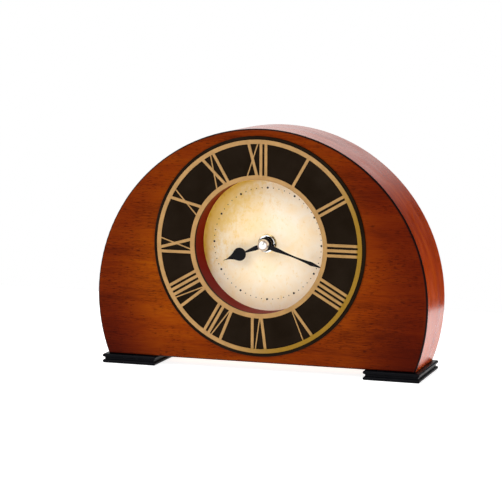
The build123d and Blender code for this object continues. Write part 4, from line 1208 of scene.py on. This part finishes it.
@dataclass
class Studio:
    """White floor, soft lights and the camera."""

    frame: dict[str, Any]
    aim: Vector = field(default_factory=lambda: Vector((-0.0047, -0.0266, 0.0813)))
    distance: float = 1.3035
    azimuth: float = 18.24
    elevation: float = 7.42
    roll: float = 0.31
    lens: float = 142.0
    floor_edges: tuple[float, float, float, float] = (-2.5, -2.5, 2.5, 0.27)
    floor_level: float = -0.05 * MM
    floor_glow: float = 0.85
    lights: tuple[SoftLight, ...] = (
        SoftLight("key", (-0.8, -1.3, 1.3), 1.8, 32.0),
        SoftLight("fill", (1.3, -1.1, 0.7), 1.2, 10.0),
        SoftLight("back", (-0.6, 1.2, 1.2), 1.0, 6.0),
    )
    lit_point: Vector = field(default_factory=lambda: Vector((0.0, 0.0, 0.08)))
    sky_dim: float = 0.12
    sky_bright: float = 0.95
    sky_left_to_right: Range = (0.02, 0.17)
    sky_front_to_back: Range = (0.3, 0.8)

    def floor(self) -> None:
        """Lays a pale floor that ends a hand's breadth behind the clock."""
        left, front, right, back = self.floor_edges
        mesh = bpy.data.meshes.new("floor")
        corners = [(left, front), (right, front), (right, back), (left, back)]
        mesh.from_pydata([(x, y, self.floor_level) for x, y in corners], [], [(0, 1, 2, 3)])
        floor = bpy.data.objects.new("floor", mesh)
        bpy.context.scene.collection.objects.link(floor)
        bench = Bench("floor_white")
        grain = bench.noise(bench.place(), 5.0, 2.0)
        tone = bench.ramp(grain, [(0.3, (0.84, 0.84, 0.84)), (0.7, (0.88, 0.88, 0.88))])
        glow = {"Emission_Color": (1.0, 1.0, 1.0), "Emission_Strength": self.floor_glow}
        mesh.materials.append(bench.close(Base_Color=tone, Roughness=0.8, Specular_IOR_Level=0.1, **glow))

    def light(self, lamp: SoftLight) -> None:
        """Adds a square soft light that faces the clock.

        Args:
            lamp: its name, place, side in metres and power in watts.
        """
        data = bpy.data.lights.new(lamp.name, "AREA")
        data.shape = "SQUARE"
        data.size = lamp.size
        data.energy = lamp.power
        made = bpy.data.objects.new(lamp.name, data)
        made.location = lamp.place
        made.rotation_euler = (self.lit_point - Vector(lamp.place)).to_track_quat("-Z", "Y").to_euler()
        bpy.context.scene.collection.objects.link(made)

    def fade(self, tree: bpy.types.NodeTree, values: Sequence[float], source: Socket) -> bpy.types.Node:
        """Adds a smooth Map Range node.

        Args:
            tree: the world's tree.
            values: its from and to values, in the node's order.
            source: the number to map.

        Returns:
            The node.
        """
        made = tree.nodes.new("ShaderNodeMapRange")
        made.interpolation_type = "SMOOTHSTEP"
        tree.links.new(source, made.inputs[0])
        for socket, value in zip(made.inputs[1:], values):
            socket.default_value = value
        return made

    def sky(self) -> None:
        """Surrounds the clock with white that casts dim light, brightest behind it to the left."""
        world = bpy.data.worlds.new("studio_white")
        world.use_nodes = True
        tree = world.node_tree
        back = tree.nodes["Background"]
        split = tree.nodes.new("ShaderNodeSeparateXYZ")
        tree.links.new(tree.nodes.new("ShaderNodeTexCoord").outputs["Generated"], split.inputs[0])
        side = self.fade(tree, (*self.sky_left_to_right, self.sky_bright, 0.0), split.outputs["X"])
        behind = self.fade(tree, (*self.sky_front_to_back, self.sky_dim), split.outputs["Y"])
        tree.links.new(side.outputs[0], behind.inputs[4])
        seen = tree.nodes.new("ShaderNodeMix")
        tree.links.new(tree.nodes.new("ShaderNodeLightPath").outputs["Is Camera Ray"], seen.inputs[0])
        tree.links.new(behind.outputs[0], seen.inputs[2])
        seen.inputs[3].default_value = 1.0
        tree.links.new(seen.outputs[0], back.inputs["Strength"])
        back.inputs["Color"].default_value = (1.0, 1.0, 1.0, 1.0)
        bpy.context.scene.world = world

    def camera(self) -> None:
        """Sets the camera a little above the dial and to its right."""
        turn, tilt = math.radians(self.azimuth), math.radians(self.elevation)
        back = Vector((math.sin(turn) * math.cos(tilt), -math.cos(turn) * math.cos(tilt), math.sin(tilt)))
        right = Vector((math.cos(turn), math.sin(turn), 0.0))
        up = back.cross(right)
        lean = math.radians(self.roll)
        leaned_right = right * math.cos(lean) + up * math.sin(lean)
        leaned_up = up * math.cos(lean) - right * math.sin(lean)
        matrix = Matrix((leaned_right, leaned_up, back)).transposed().to_4x4()
        matrix.translation = self.aim + back * self.distance
        data = bpy.data.cameras.new("camera")
        data.sensor_width = 36.0
        data.lens = self.lens
        data.clip_start = 0.01
        camera = bpy.data.objects.new("camera", data)
        camera.matrix_world = matrix
        bpy.context.scene.collection.objects.link(camera)
        bpy.context.scene.camera = camera

    def build(self) -> None:
        """Sets up floor, light and camera."""
        self.floor()
        self.sky()
        for lamp in self.lights:
            self.light(lamp)
        self.camera()
        bpy.context.scene.view_settings.view_transform = "Standard"


def main() -> None:
    """Builds the clock's looks in order."""
    logging.basicConfig(level=logging.INFO, format="%(message)s")
    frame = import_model()
    for assembly in (WoodenCase, ChapterRing, Dial, Hands, Movement, Battery):
        assembly(frame).dress()
    Studio(frame).build()


if __name__ == "__main__":
    main()
